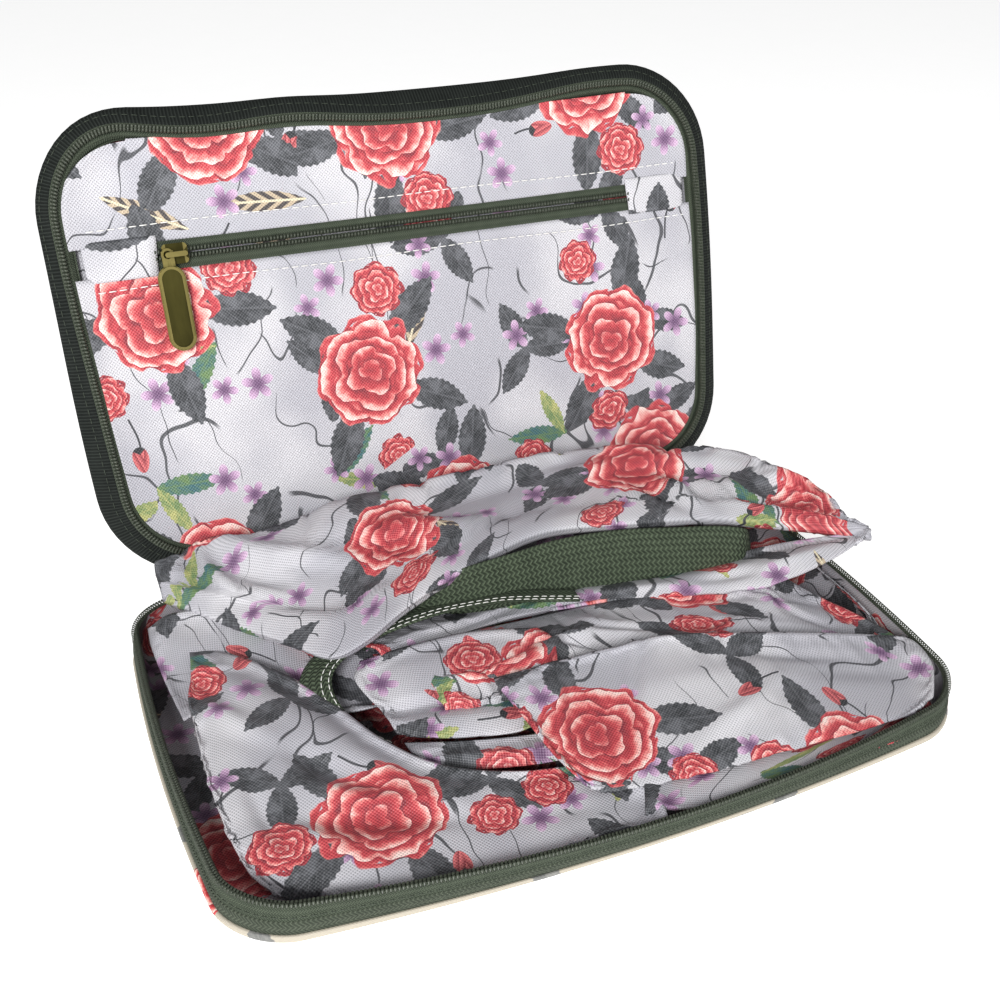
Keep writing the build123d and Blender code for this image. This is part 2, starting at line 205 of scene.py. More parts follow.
# ---- floral print --------------------------------------------------------------
# Everything is drawn in millimetres of flat cloth, which the UV map holds.
GROUND = (0.49, 0.485, 0.525)
GROUND_LIGHT = (0.65, 0.64, 0.665)
ROSE_DEEP = (0.27, 0.010, 0.026)
ROSE_MID = (0.62, 0.060, 0.075)
ROSE_PALE = (0.94, 0.60, 0.55)
LEAF_DARK = (0.014, 0.018, 0.022)
LEAF_GREY = (0.15, 0.155, 0.17)
STEM = (0.035, 0.038, 0.045)
LILAC = (0.60, 0.40, 0.58)
LILAC_DEEP = (0.19, 0.09, 0.20)
FEATHER_PALE = (0.56, 0.46, 0.33)
FEATHER_DARK = (0.07, 0.055, 0.05)
LIVE_GREEN = (0.16, 0.27, 0.10)
TEAL = (0.04, 0.16, 0.19)


def placed(s, point, turn, x, y, size):
    """The point in a motif's own frame: moved to (x, y), turned by degrees, in units of size."""
    node = s.node("Mapping", {"vector_type": "TEXTURE"}, Vector=point)
    node.inputs["Location"].default_value = (x, y, 0)
    node.inputs["Rotation"].default_value = (0, 0, math.radians(turn))
    node.inputs["Scale"].default_value = (size, size, 1)
    return s.out(node)


def polar(s, point):
    x, y = s.split(point)
    radius = s.math("SQRT", x * x + y * y)
    return radius, s.math("ARCTAN2", y, x)


def draw_rose(s, ground, point, grain, paleness=0.35):
    """Rings of overlapping petals, deep where they tuck under the next, pale at their rims."""
    warp = s.noise(point, 1.6, 2.0, 0.55, output=1)
    bend = s.node("VectorMath", {"operation": "MULTIPLY_ADD"}, in_0=warp, in_1=(0.34, 0.34, 0.0), in_2=point)
    bent = s.out(bend)
    bent = s.shift(bent, (-0.17, -0.17, 0.0))
    radius, turn = polar(s, bent)
    turn = turn / 6.28319

    def petal_place(ring_number):
        count = s.math("FLOOR", ring_number * 1.4) + 3.0
        place = s.math("FRACT", turn * count + ring_number * 0.37 + s.math("FLOOR", grain * 5.0) * 0.21)
        return abs(place - 0.5) * 2.0

    rings = radius * 4.4
    first = petal_place(s.math("FLOOR", rings))
    scalloped = rings + first * first * 0.55
    ring_number = s.math("FLOOR", scalloped)
    depth = s.math("FRACT", scalloped)
    across = petal_place(ring_number)
    mask = s.smooth(scalloped, 4.46, 4.34)
    streak = s.noise(bent, 7.0, 3.0, 0.6)
    tone = depth * 0.72 + streak * 0.75 - 0.24 - across * across * 0.30 + (radius - 0.5) * paleness
    petals = s.out(s.node("ValToRGB", {"stops": [
        (0.0, ROSE_DEEP), (0.22, (0.47, 0.030, 0.045)), (0.42, ROSE_MID), (0.62, (0.83, 0.27, 0.25)),
        (0.8, ROSE_PALE), (1.0, (0.97, 0.80, 0.74)),
    ]}, in_0=tone))
    heart = s.mix(s.smooth(radius, 0.45, 0.1) * 0.5, petals, (0.55, 0.045, 0.06))
    return s.mix(mask, ground, heart)


def draw_leaf(s, ground, point, dark, light, width=0.46, veins=4.5):
    """A toothed leaf along x from -1 to 1, with a midrib and side veins."""
    x, y = s.split(point)
    side = abs(y)
    along = 1.0 - x * x
    half = along * width + s.math("SINE", x * 34.0) * 0.022 - 0.015
    inside = s.smooth(side / s.math("MAXIMUM", half, 0.001), 1.0, 0.92)
    mask = inside * s.math("LESS_THAN", abs(x), 0.98)
    rib = s.smooth(side, 0.045, 0.015)
    comb = s.math("FRACT", (x - side * 1.3) * veins)
    vein = s.smooth(abs(comb - 0.5), 0.1, 0.02) * 0.55
    blotch = s.smooth(s.noise(point, 1.8, 4.0, 0.65), 0.36, 0.68)
    tone = blotch * 0.9 + s.math("GREATER_THAN", y, 0.0) * 0.25 - 0.1
    body = s.mix(tone, dark, light)
    veined = s.mix(s.math("MAXIMUM", rib * 0.6, vein), body, light)
    return s.mix(mask, ground, veined)


def draw_feather(s, ground, point):
    x, y = s.split(point)
    side = abs(y)
    half = (1.0 - x * x) * 0.24 + s.noise(point, 7.0) * 0.06 - 0.03
    mask = s.smooth(side / s.math("MAXIMUM", half, 0.001), 1.0, 0.9) * s.math("LESS_THAN", abs(x), 0.99)
    bars = s.smooth(s.math("SINE", (x * 1.0 + side * 1.5) * 19.0), -0.25, 0.35)
    body = s.mix(bars, FEATHER_DARK, FEATHER_PALE)
    quill = s.mix(s.smooth(side, 0.04, 0.015), body, (0.75, 0.68, 0.5))
    return s.mix(mask, ground, quill)


def draw_blossom(s, ground, point):
    """Five notched petals, deep in the throat."""
    radius, turn = polar(s, point)
    lobes = abs(s.math("COSINE", turn * 2.5))
    edge = 0.34 + lobes * 0.66
    mask = s.smooth(radius / edge, 1.0, 0.9)
    tone = s.smooth(radius, 0.08, 0.75) * (0.55 + 0.45 * lobes)
    body = s.mix(tone, LILAC_DEEP, LILAC)
    pale = s.mix(s.smooth(radius, 0.6, 1.0) * 0.5, body, (0.82, 0.70, 0.80))
    return s.mix(mask, ground, pale)


def ribbed_cloth():
    """Dark grosgrain: fine straight ribs across the band."""
    s = Shade("ribbed_side_cloth")
    cloth = cloth_point(s)
    x, y = s.split(cloth)
    ribs = s.math("SINE", x * (2 * math.pi / 1.25)) * 0.5 + 0.5
    patch = s.noise(cloth, 0.12, 3.0)
    # Partly painted shade: following the rib height, the rib hollows are darker and the rib crests lighter.
    # The patch noise is the cloth's own uneven tone.
    colour = s.mix(ribs * 0.6 + patch * 0.4, (0.008, 0.010, 0.009), (0.050, 0.058, 0.052))
    return s.finish(colour, 0.75, ribs, 0.7, 0.0005, Specular_IOR_Level=0.25)


def draw_bud(s, ground, point):
    """A closed bud in its green cup, on a short stalk."""
    x, y = s.split(point)
    half = s.math("SQRT", s.math("MAXIMUM", 1.0 - x * x, 0.0)) * (0.62 - x * 0.12)
    mask = s.smooth(abs(y) / s.math("MAXIMUM", half, 0.001), 1.0, 0.92)
    fold = s.math("FRACT", abs(y - 0.2) * 2.6 + x * 0.7)
    body = s.mix(fold, ROSE_DEEP, (0.80, 0.22, 0.22))
    cupped = s.mix(s.smooth(x + abs(y) * 0.7, -0.35, -0.5), body, LEAF_DARK)
    stalk = s.smooth(abs(y + s.math("SINE", x * 1.2) * 0.2), 0.1, 0.05) * s.math("LESS_THAN", x, -0.9)
    stalk = stalk * s.math("GREATER_THAN", x, -3.2)
    stalked = s.mix(stalk, ground, STEM)
    return s.mix(mask, stalked, cupped)


def scatter(s, cloth, cell, offset, randomness):
    """Cells over the cloth: the point in its cell's turned frame, in mm, and the cell's own numbers."""
    moved = s.shift(cloth, offset)
    node = s.node(
        "TexVoronoi", {"voronoi_dimensions": "2D", "feature": "F1"},
        Vector=moved, Scale=1.0 / cell, Randomness=randomness,
    )
    local = s.out(s.node("VectorMath", {"operation": "SUBTRACT"}, in_0=moved, in_1=s.out(node, "Position")))
    numbers = s.node("SeparateColor", in_0=s.out(node, "Color"))
    turn = s.out(numbers, 0) * 6.283
    turned = s.node("VectorRotate", {"rotation_type": "Z_AXIS"}, Vector=local)
    s.feed(turned.inputs["Angle"], turn)
    return s.out(turned), s.out(numbers, 1), s.out(numbers, 2)


def shown(s, drawn, ground, condition):
    return s.mix(condition, ground, drawn)


def floral(s, cloth):
    """The whole print: ground, stems, sprays, blossoms and the large roses."""
    wash = s.noise(cloth, 0.018, 2.0)
    colour = s.mix(s.smooth(wash, 0.35, 0.7), GROUND, GROUND_LIGHT)
    # wandering stems
    warp = s.noise(cloth, 0.022, 2.0, 0.55, output=1)
    bend = s.node("VectorMath", {"operation": "MULTIPLY_ADD"}, in_0=warp, in_1=(26, 26, 0), in_2=cloth)
    bent = s.out(bend)
    for scale, width, level, stretch in (
        (0.012, 0.0085, 0.5, 0.45), (0.019, 0.0100, 0.47, 0.5), (0.026, 0.009, 0.54, 0.6),
    ):
        long = s.out(s.node("VectorMath", {"operation": "MULTIPLY"}, in_0=bent, in_1=(1.0, stretch, 1.0)))
        run = s.noise(long, scale, 1.0)
        line = s.smooth(abs(run - level), width * 0.55, width * 0.3)
        gate = s.smooth(s.noise(cloth, 0.02 + scale, 0.0), 0.38, 0.46)
        colour = s.mix(line * gate * 0.9, colour, STEM)
    # sprays
    point, pick, size = scatter(s, cloth, 47.0, (13.0, 71.0, 0.0), 0.62)
    spray = colour
    for turn, x, y in ((25, 9, 5), (150, -9, 5), (268, 0, -11)):
        spray = draw_leaf(s, spray, placed(s, point, turn, x, y, 12.0), LEAF_DARK, LEAF_GREY)
    colour = shown(s, spray, colour, s.math("LESS_THAN", pick, 0.42))
    fancy = draw_leaf(s, colour, placed(s, point, 12, 0, 5, 15.0), TEAL, LIVE_GREEN, 0.3, 6.0)
    fancy = draw_leaf(s, fancy, placed(s, point, 130, -5, -6, 12.0), LIVE_GREEN, (0.5, 0.5, 0.2), 0.32, 6.0)
    between = s.math("GREATER_THAN", pick, 0.42) * s.math("LESS_THAN", pick, 0.66)
    colour = shown(s, fancy, colour, between)
    feather = draw_feather(s, colour, placed(s, point, 40, 0, 0, 17.0))
    colour = shown(s, feather, colour, s.math("GREATER_THAN", pick, 0.80))
    # blossoms and buds
    point, pick, size = scatter(s, cloth, 38.0, (91.0, 7.0, 0.0), 0.7)
    pair = draw_blossom(s, colour, placed(s, point, 0, -6, 0, 7.0))
    pair = draw_blossom(s, pair, placed(s, point, 40, 7, 4, 6.0))
    colour = shown(s, pair, colour, s.math("LESS_THAN", pick, 0.5))
    budded = draw_bud(s, colour, placed(s, point, 20, 0, 0, 5.2))
    colour = shown(s, budded, colour, s.math("GREATER_THAN", pick, 0.6))
    # large roses with their leaves and a smaller rose
    point, pick, size = scatter(s, cloth, 88.0, (31.0, 22.0, 0.0), 0.55)
    for turn, x, y, long in ((30, 27, 14, 15), (100, -7, 30, 16), (205, -28, -6, 15), (300, 13, -27, 16)):
        colour = draw_leaf(s, colour, placed(s, point, turn, x, y, long), LEAF_DARK, LEAF_GREY)
    colour = draw_rose(s, colour, placed(s, point, 0, -22, 25, 11.0), size, -0.25)
    colour = draw_rose(s, colour, placed(s, point, 90, 34, -16, 9.0), size, -0.3)
    colour = draw_rose(s, colour, placed(s, point, 60, 0, 0, 23.0), pick)
    return colour


def weave(s, cloth, pitch):
    """Plain basket weave height from 0 to 1, for a pitch in mm."""
    x, y = s.split(cloth)
    across = s.math("SINE", x * (2 * math.pi / pitch))
    along = s.math("SINE", y * (2 * math.pi / pitch))
    return across * along * 0.5 + 0.5


def cloth_point(s):
    return s.out(s.node("UVMap", {"uv_map": "UVMap"}))


def flat_point(s):
    """Millimetres of flat cloth for a CAD node in the lid, which has no UV map."""
    place = s.node("SeparateXYZ", in_0=s.out(s.node("TexCoord"), "Object"))
    made = s.node("CombineXYZ", X=s.out(place, 0) * 1000.0, Y=s.out(place, 2) * 1000.0)
    return s.out(made)


def floral_cloth(name, where=cloth_point):
    s = Shade(name)
    cloth = where(s)
    colour = floral(s, cloth)
    threads = weave(s, cloth, 1.35)
    # Painted highlight: the thread crests are mixed towards near-white. Painted shade: the hollows of the
    # weave are mixed towards near-black.
    lit = s.mix(threads * 0.16, colour, (0.8, 0.8, 0.82))
    weave_hollow_painted_shade = s.mix(s.smooth(threads, 0.4, 0.0) * 0.5, lit, (0.06, 0.06, 0.07))
    return s.finish(weave_hollow_painted_shade, 0.47 - threads * 0.1, threads, 0.6, 0.0003, Specular_IOR_Level=0.4)


def webbing_cloth(name, base, light, pitch, stripe=3.0, rough=0.78, depth=0.0005):
    """Twill or ribbed woven band: short slanting ribs across the width."""
    s = Shade(name)
    cloth = cloth_point(s)
    x, y = s.split(cloth)
    slant = s.math("PINGPONG", y / stripe, 0.5) * stripe
    ribs = s.math("SINE", (x + slant) * (2 * math.pi / pitch)) * 0.5 + 0.5
    rows = s.math("SINE", y * (2 * math.pi / stripe)) * 0.5 + 0.5
    height = ribs * 0.75 + rows * 0.25
    patch = s.noise(cloth, 0.15, 3.0)
    # Partly painted shade: following the weave height, the low weave takes the darker colour and the raised
    # weave the lighter one. The patch noise is the band's own uneven tone.
    colour = s.mix(height * 0.75 + patch * 0.25, base, light)
    return s.finish(colour, rough, height, 0.8, depth, Specular_IOR_Level=0.25)


# GREEN_DARK and GREEN_LIGHT are the ends of the painted relief shade in webbing_cloth: the shaded low weave
# and the lit raised weave.
GREEN_DARK = (0.032, 0.042, 0.030)
GREEN_LIGHT = (0.155, 0.18, 0.135)


def tape_cloth():
    """Fine herringbone tape."""
    return webbing_cloth(
        "zip_tape_cloth", GREEN_DARK, GREEN_LIGHT, pitch=0.9, stripe=2.2, rough=0.82, depth=0.0003,
    )


def coil_plastic():
    s = Shade("zip_coil_nylon")
    cloth = s.out(s.node("TexCoord"), "Object")
    grain = s.noise(cloth, 900.0, 2.0)
    colour = s.mix(grain, (0.035, 0.042, 0.032), (0.12, 0.135, 0.10))
    return s.finish(colour, 0.34 + grain * 0.15, Specular_IOR_Level=0.6)


def brass_metal():
    s = Shade("antique_brass_metal")
    place = s.out(s.node("TexCoord"), "Object")
    patina = s.noise(place, 160.0, 4.0, 0.6)
    worn = s.out(s.node("NewGeometry"), "Pointiness")
    rub = s.smooth(worn, 0.50, 0.56)
    aged = s.mix(patina, (0.050, 0.046, 0.016), (0.13, 0.118, 0.040))
    colour = s.mix(rub, aged, (0.38, 0.33, 0.14))
    return s.finish(colour, 0.42 - rub * 0.12 + patina * 0.1, patina, 0.15, 0.0001, Metallic=0.95)


def thread_cotton(name="white_thread", low=(0.72, 0.71, 0.69), high=(0.92, 0.91, 0.89)):
    s = Shade(name)
    place = s.out(s.node("TexCoord"), "Object")
    twist = s.noise(place, 1400.0, 2.0)
    colour = s.mix(twist, low, high)
    return s.finish(colour, 0.6, twist, 0.3, 0.0001)


def cover_cloth():
    """Cream outer cloth with sparse grey leaves and a few pale roses."""
    s = Shade("cream_cover_cloth")
    cloth = cloth_point(s)
    colour = (0.50, 0.46, 0.39)
    point, pick, size = scatter(s, cloth, 44.0, (5.0, 9.0, 0.0), 0.7)
    spray = colour
    for turn, x, y in ((25, 8, 5), (150, -8, 5), (268, 0, -10)):
        leaf = placed(s, point, turn, x, y, 10.5)
        spray = draw_leaf(s, spray, leaf, (0.17, 0.175, 0.175), (0.27, 0.27, 0.26))
    colour = shown(s, spray, colour, s.math("LESS_THAN", pick, 0.55))
    point, pick, size = scatter(s, cloth, 70.0, (40.0, 3.0, 0.0), 0.6)
    rose = draw_rose(s, colour, placed(s, point, 0, 0, 0, 14.0), size)
    colour = shown(s, rose, colour, s.math("LESS_THAN", pick, 0.5))
    threads = weave(s, cloth, 1.15)
    # Painted highlight: the thread crests of the weave are mixed towards a paler cream.
    lit = s.mix(threads * 0.12, colour, (0.58, 0.54, 0.47))
    return s.finish(lit, 0.55, threads, 0.4, 0.0002, Specular_IOR_Level=0.4)


def board_plastic():
    """Grey polypropylene board with a fine grain and a few scuffs."""
    s = Shade("stiffening_board")
    place = s.out(s.node("TexCoord"), "Object")
    grain = s.noise(place, 900.0, 3.0)
    scuff = s.smooth(s.noise(place, 45.0, 4.0, 0.7), 0.62, 0.7)
    colour = s.mix(grain * 0.5 + scuff * 0.5, (0.10, 0.105, 0.11), (0.24, 0.245, 0.25))
    return s.finish(colour, 0.45 + scuff * 0.25, grain, 0.25, 0.0001)


def foam_pad():
    """Open-cell foam: small pores in a warm white, darkened with painted shade."""
    s = Shade("lid_foam")
    place = s.out(s.node("TexCoord"), "Object")
    cells = s.out(s.node("TexVoronoi", Vector=place, Scale=1300.0), "Distance")
    pores = s.smooth(cells, 0.15, 0.5)
    # Painted shade: the pore hollows are mixed towards a darker brown-grey.
    colour = s.mix(pores, (0.42, 0.39, 0.33), (0.80, 0.77, 0.70))
    return s.finish(colour, 0.9, pores, 0.5, 0.0003, Subsurface_Weight=0.05)


FLORAL = floral_cloth("floral_print_cloth")
FLORAL_FLAT = floral_cloth("floral_print_flat", flat_point)
BOARD = board_plastic()
FOAM = foam_pad()
TAPE = tape_cloth()
WEBBING = webbing_cloth(
    "handle_webbing", GREEN_DARK, (0.17, 0.21, 0.145), pitch=2.1, stripe=2.6, rough=0.7, depth=0.0009,
)
BAND = webbing_cloth(
    "woven_band_cloth", (0.045, 0.055, 0.042), (0.15, 0.17, 0.13),
    pitch=1.5, stripe=3.4, rough=0.8, depth=0.0005,
)
RIBBED = ribbed_cloth()
COIL = coil_plastic()
BRASS = brass_metal()
THREAD = thread_cotton()
GREEN_THREAD = thread_cotton("green_thread", (0.05, 0.06, 0.045), (0.11, 0.13, 0.10))
COVER = cover_cloth()


# ---- mesh makers ---------------------------------------------------------------
def piece(name, verts, faces, uvs, material, body, smooth=True):
    """A mesh object from points in metres, faces, one (u, v) in mm for each point, riding on a body."""
    mesh = bpy.data.meshes.new(name)
    mesh.from_pydata([tuple(v) for v in verts], [], [tuple(f) for f in faces])
    mesh.update()
    if uvs is not None:
        layer = mesh.uv_layers.new(name="UVMap")
        loops = np.zeros(len(mesh.loops), np.int32)
        mesh.loops.foreach_get("vertex_index", loops)
        layer.data.foreach_set("uv", np.asarray(uvs, np.float32)[loops].ravel())
    if smooth:
        mesh.polygons.foreach_set("use_smooth", [True] * len(mesh.polygons))
    mesh.materials.append(material)
    made = bpy.data.objects.new(name, mesh)
    bpy.context.scene.collection.objects.link(made)
    if body:
        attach(made, body)
    return made


def grid_faces(rows, columns):
    """Four-sided faces of an open grid of points, row by row."""
    faces = []
    for i in range(rows - 1):
        for j in range(columns - 1):
            corner = i * columns + j
            faces.append((corner, corner + 1, corner + columns + 1, corner + columns))
    return faces


def catmull(points, steps):
    """Smooth run through the points along their first axis, with so many steps in each span."""
    p = np.asarray(points, float)
    p = np.concatenate([2 * p[:1] - p[1:2], p, 2 * p[-1:] - p[-2:-1]])
    rows = []
    for k in range(1, len(p) - 2):
        for t in np.arange(steps) / steps:
            rows.append(0.5 * (
                2 * p[k] + (p[k + 1] - p[k - 1]) * t
                + (2 * p[k - 1] - 5 * p[k] + 4 * p[k + 1] - p[k + 2]) * t ** 2
                + (3 * p[k] - p[k - 1] - 3 * p[k + 1] + p[k + 2]) * t ** 3
            ))
    rows.append(p[-2])
    return np.array(rows)


def arc_lengths(grid, axis):
    """Distance along an axis of a grid of points, from its first row or column."""
    steps = np.linalg.norm(np.diff(grid, axis=axis), axis=2)
    start = np.zeros_like(np.take(steps, [0], axis=axis))
    return np.concatenate([start, np.cumsum(steps, axis=axis)], axis=axis)


def linked_grid(name, grid, uv, material, body):
    """A sheet from a grid of points in mm."""
    rows, columns = grid.shape[:2]
    faces = grid_faces(rows, columns)
    return piece(name, grid.reshape(-1, 3) * MM, faces, uv.reshape(-1, 2), material, body)


def joined(name, chunks, material, body, smooth=True):
    """One object from many (points in mm, faces) chunks."""
    verts = []
    faces = []
    start = 0
    for points, chunk_faces in chunks:
        verts.append(points)
        faces.extend([tuple(k + start for k in face) for face in chunk_faces])
        start += len(points)
    every = np.concatenate(verts) * MM
    uv = every[:, :2] / MM
    return piece(name, every, faces, uv, material, body, smooth)


# ---- places taken from the CAD frame ---------------------------------------------
HINGE_JOINT = next(j for j in frame["joints"] if j["name"] == "lid_hinge")
HINGE = np.array(HINGE_JOINT["pos_m"]) / MM
OPEN = math.radians(HINGE_JOINT["range_deg"][1])
UP = np.array([0.0, -math.cos(OPEN), math.sin(OPEN)])
INWARD = np.array([0.0, -math.sin(OPEN), -math.cos(OPEN)])
ALONG = np.array([1.0, 0.0, 0.0])

SIDE_BOW = 4.9
BASE_HIGH = np.array(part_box("base_cover")[1]) / MM
HALF_X = BASE_HIGH[0] - SIDE_BOW
HALF_Y = BASE_HIGH[1]
CORNER = 22.0
RIM = np.array(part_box("base_gusset")[1])[2] / MM + 6.6
FLOOR_BOW = 9.0
RIM_BOW = 17.0
SPINE_HALF = 104.0

LID_SIDE_BOW = 2.2
LID_DIP = 3.3
LID_HALF = np.array(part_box("lid_gusset")[1])[0] / MM - LID_SIDE_BOW
LID_LOW = 2.8
LID_TOP = LID_LOW + 180.0
LID_CORNER = 38.0


def ring(half_x, half_y, radius):
    """Rounded rectangle round the origin, from the middle of its rear side, first towards +X."""
    x = half_x - radius
    y = half_y - radius
    parts = [np.linspace((0, half_y), (x, half_y), 16, endpoint=False)]

    def turn(cx, cy, start):
        angle = np.radians(np.linspace(start, start - 90, 14, endpoint=False))
        parts.append(np.column_stack([cx + radius * np.cos(angle), cy + radius * np.sin(angle)]))

    turn(x, y, 90)
    parts.append(np.linspace((half_x, y), (half_x, -y), 24, endpoint=False))
    turn(x, -y, 0)
    parts.append(np.linspace((x, -half_y), (-x, -half_y), 44, endpoint=False))
    turn(-x, -y, -90)
    parts.append(np.linspace((-half_x, -y), (-half_x, y), 24, endpoint=False))
    turn(-x, y, 180)
    parts.append(np.linspace((-x, half_y), (0, half_y), 17))
    return np.concatenate(parts)


def base_ring(inset, height):
    """Outline of the base at a height, moved in by an inset."""
    half_x = HALF_X - inset
    half_y = HALF_Y - inset
    x, y = ring(half_x, half_y, max(CORNER - inset, 2.0)).T
    bow = FLOOR_BOW + (RIM_BOW - FLOOR_BOW) * min(max(height / RIM, 0.0), 1.0)
    front = np.where(y < 0, (y / half_y) ** 2, 0.0) * (1 - (x / half_x) ** 2)
    side = (x / half_x) ** 2 * (1 - (y / half_y) ** 2)
    return np.column_stack([x + np.sign(x) * SIDE_BOW * side, y - bow * front, np.full(len(x), height)])


def lid_at(x, up, level):
    """Point of the lid: along the spine, up from the hinge line, and in from the rim's plane."""
    x, up, level = np.broadcast_arrays(x, up, level)
    return HINGE + x[..., None] * ALONG + up[..., None] * UP + level[..., None] * INWARD


def lid_flat_ring(inset):
    """Outline of the lid in its own plane."""
    half_x = LID_HALF - inset
    half_up = (LID_TOP - LID_LOW) / 2 - inset
    x, up = ring(half_x, half_up, max(LID_CORNER - inset, 3.0)).T
    # its rear side is the hinge side
    up = -up
    dip = np.where(up > 0, (up / half_up) ** 2, 0.0) * (1 - (x / half_x) ** 2)
    side = (x / half_x) ** 2 * (1 - (up / half_up) ** 2)
    middle = (LID_TOP + LID_LOW) / 2
    return np.column_stack([x + np.sign(x) * LID_SIDE_BOW * side, middle + up - LID_DIP * dip])


def hump(x, up, at_x, at_up, wide_x, wide_up):
    return np.exp(-((x - at_x) / wide_x) ** 2 - ((up - at_up) / wide_up) ** 2)


def lid_ring(inset, level):
    """Outline of the lid in space. Its soft rim stands wider at the upper corners and sags between."""
    x, up = lid_flat_ring(inset).T
    rim = np.interp(level, [-7.0, -2.0], [0.0, 1.0])
    out_left = 4.2 * hump(x, up, -125, 150, 40, 62) + 1.8 * hump(x, up, 130, 110, 30, 60)
    out_up = (
        4.5 * hump(x, up, -118, 178, 30, 26) + 4.2 * hump(x, up, -42, 182, 26, 20)
        + 4.4 * hump(x, up, 86, 182, 34, 26)
    )
    moved_x = x + np.sign(x) * out_left * rim * (np.abs(x) / LID_HALF) ** 3
    moved_up = up + out_up * rim
    tuck = (1 - rim) * 3.6 * hump(x, up, -139, 160, 34, 58)
    deep = np.interp(level, [-14.0, -7.0], [0.6, 1.0])
    return lid_at(moved_x + tuck * deep, moved_up, level)


def profiled(make_ring, profile, steps=4):
    """A grid of rings through (inset, level) stations, smoothed, and its lengths both ways."""
    run = catmull(profile, steps)
    grid = np.array([make_ring(inset, level) for inset, level in run])
    across = np.concatenate([[0.0], np.cumsum(np.linalg.norm(np.diff(run, axis=0), axis=1))])
    along = arc_lengths(grid, 1).mean(axis=0)
    uv = np.stack(np.meshgrid(along, across), axis=2)
    return grid, uv


def spread_uv(make_flat, run, centre_row):
    """UV of a tray: flat on its floor, then running out at its edge by the height climbed."""
    length = 0.0
    rows = []
    for k, (inset, level) in enumerate(run):
        if k > centre_row:
            length += np.linalg.norm(run[k] - run[k - 1])
        rows.append(make_flat(run[min(k, centre_row)][0] - length))
    return np.array(rows)


def tray(name, make_ring, make_flat, profile, floor_row, material, body, middle):
    """A floor with turned-up sides; the floor closes over its middle."""
    run = catmull(profile, 4)
    grid = np.array([make_ring(inset, level) for inset, level in run])
    uv = spread_uv(make_flat, run, floor_row * 4)
    # close the floor in shrinking rings
    first = grid[0]
    shares = np.linspace(0.0, 1.0, 9, endpoint=False)[:, None, None]
    inner = middle + (first - middle) * shares
    flat_middle = uv[0].mean(axis=0)
    inner_uv = flat_middle + (uv[0] - flat_middle) * shares
    whole = np.concatenate([inner, grid])
    whole_uv = np.concatenate([inner_uv, uv])
    return linked_grid(name, whole, whole_uv, material, body)


def frames_along(path, normal):
    """Unit tangents and sideways directions of a path."""
    tangent = np.gradient(path, axis=0)
    tangent /= np.linalg.norm(tangent, axis=1)[:, None]
    side = np.cross(normal, tangent)
    side /= np.linalg.norm(side, axis=1)[:, None]
    return tangent, side


def walked(path, pitch, start=0.0):
    """Points at an even pitch along a path."""
    length = np.concatenate([[0.0], np.cumsum(np.linalg.norm(np.diff(path, axis=0), axis=1))])
    at = np.arange(start, length[-1], pitch)
    return np.column_stack([np.interp(at, length, path[:, k]) for k in range(3)])


def teeth(path, normal, pitch=1.3, width=2.7, height=1.2, long=0.86, slant=0.16, single=False):
    """Coil teeth lying across a path: each a low rounded loop."""
    spots = walked(path, pitch, pitch / 2)
    tangent, side = frames_along(spots, normal)
    outline = [
        (-0.5, 0.0), (-0.42, 0.6), (-0.24, 1.0), (-0.06, 0.62), (0.06, 0.62), (0.24, 1.0), (0.42, 0.6),
        (0.5, 0.0),
    ]
    if single:
        outline = [
            (-0.5, 0.05), (-0.42, 0.62), (-0.2, 0.95), (0.1, 1.0), (0.36, 0.8), (0.5, 0.3),
            (0.47, 0.0),
        ]
    chunks = []
    for spot, t, across in zip(spots, tangent, side):
        verts = []
        for share, lift in outline:
            middle = spot + across * width * share + t * slant * share * 2 + normal * height * lift
            down = height * 0.34
            for along, drop in ((-0.5, 0.5), (-0.3, 0.0), (0.3, 0.0), (0.5, 0.5)):
                verts.append(middle + t * long * along - normal * down * drop)
        count = len(outline)
        faces = []
        for i in range(count - 1):
            for j in range(3):
                faces.append((4 * i + j, 4 * i + j + 1, 4 * i + j + 5, 4 * i + j + 4))
        faces.append((0, 1, 2, 3))
        faces.append(tuple(4 * count - 4 + j for j in (3, 2, 1, 0)))
        chunks.append((np.array(verts), faces))
    return chunks


def stitches(path, normal, long=2.6, gap=0.9, width=0.42, height=0.22):
    """Thread lying on cloth: short rounded runs that dive in at both ends."""
    spots = walked(path, long + gap, gap)
    tangent, side = frames_along(spots, normal)
    chunks = []
    for spot, t, across in zip(spots, tangent, side):
        verts = []
        for share, lift, wide in (
            (-0.5, -0.5, 0.4), (-0.36, 0.7, 1.0), (0.0, 1.0, 1.0), (0.36, 0.7, 1.0), (0.5, -0.5, 0.4),
        ):
            middle = spot + t * long * share + normal * height * lift
            for turn in range(6):
                angle = math.pi * turn / 3
                verts.append(middle + across * math.cos(angle) * width / 2 * wide
                             + normal * math.sin(angle) * width / 2 * wide)
        faces = []
        for i in range(4):
            for j in range(6):
                k = (j + 1) % 6
                faces.append((6 * i + j, 6 * i + k, 6 * i + 6 + k, 6 * i + 6 + j))
        faces.append((5, 4, 3, 2, 1, 0))
        faces.append((24, 25, 26, 27, 28, 29))
        chunks.append((np.array(verts), faces))
    return chunks


UPWARD = np.array([0.0, 0.0, 1.0])


def open_part(points, half):
    """The part of a closed ring that the spine doesn't cover."""
    rear = np.abs(points[:, 0]) < half
    near_start = np.arange(len(points)) < len(points) // 4
    near_end = np.arange(len(points)) > len(points) * 3 // 4
    keep = ~(rear & (near_start | near_end))
    return points[keep]


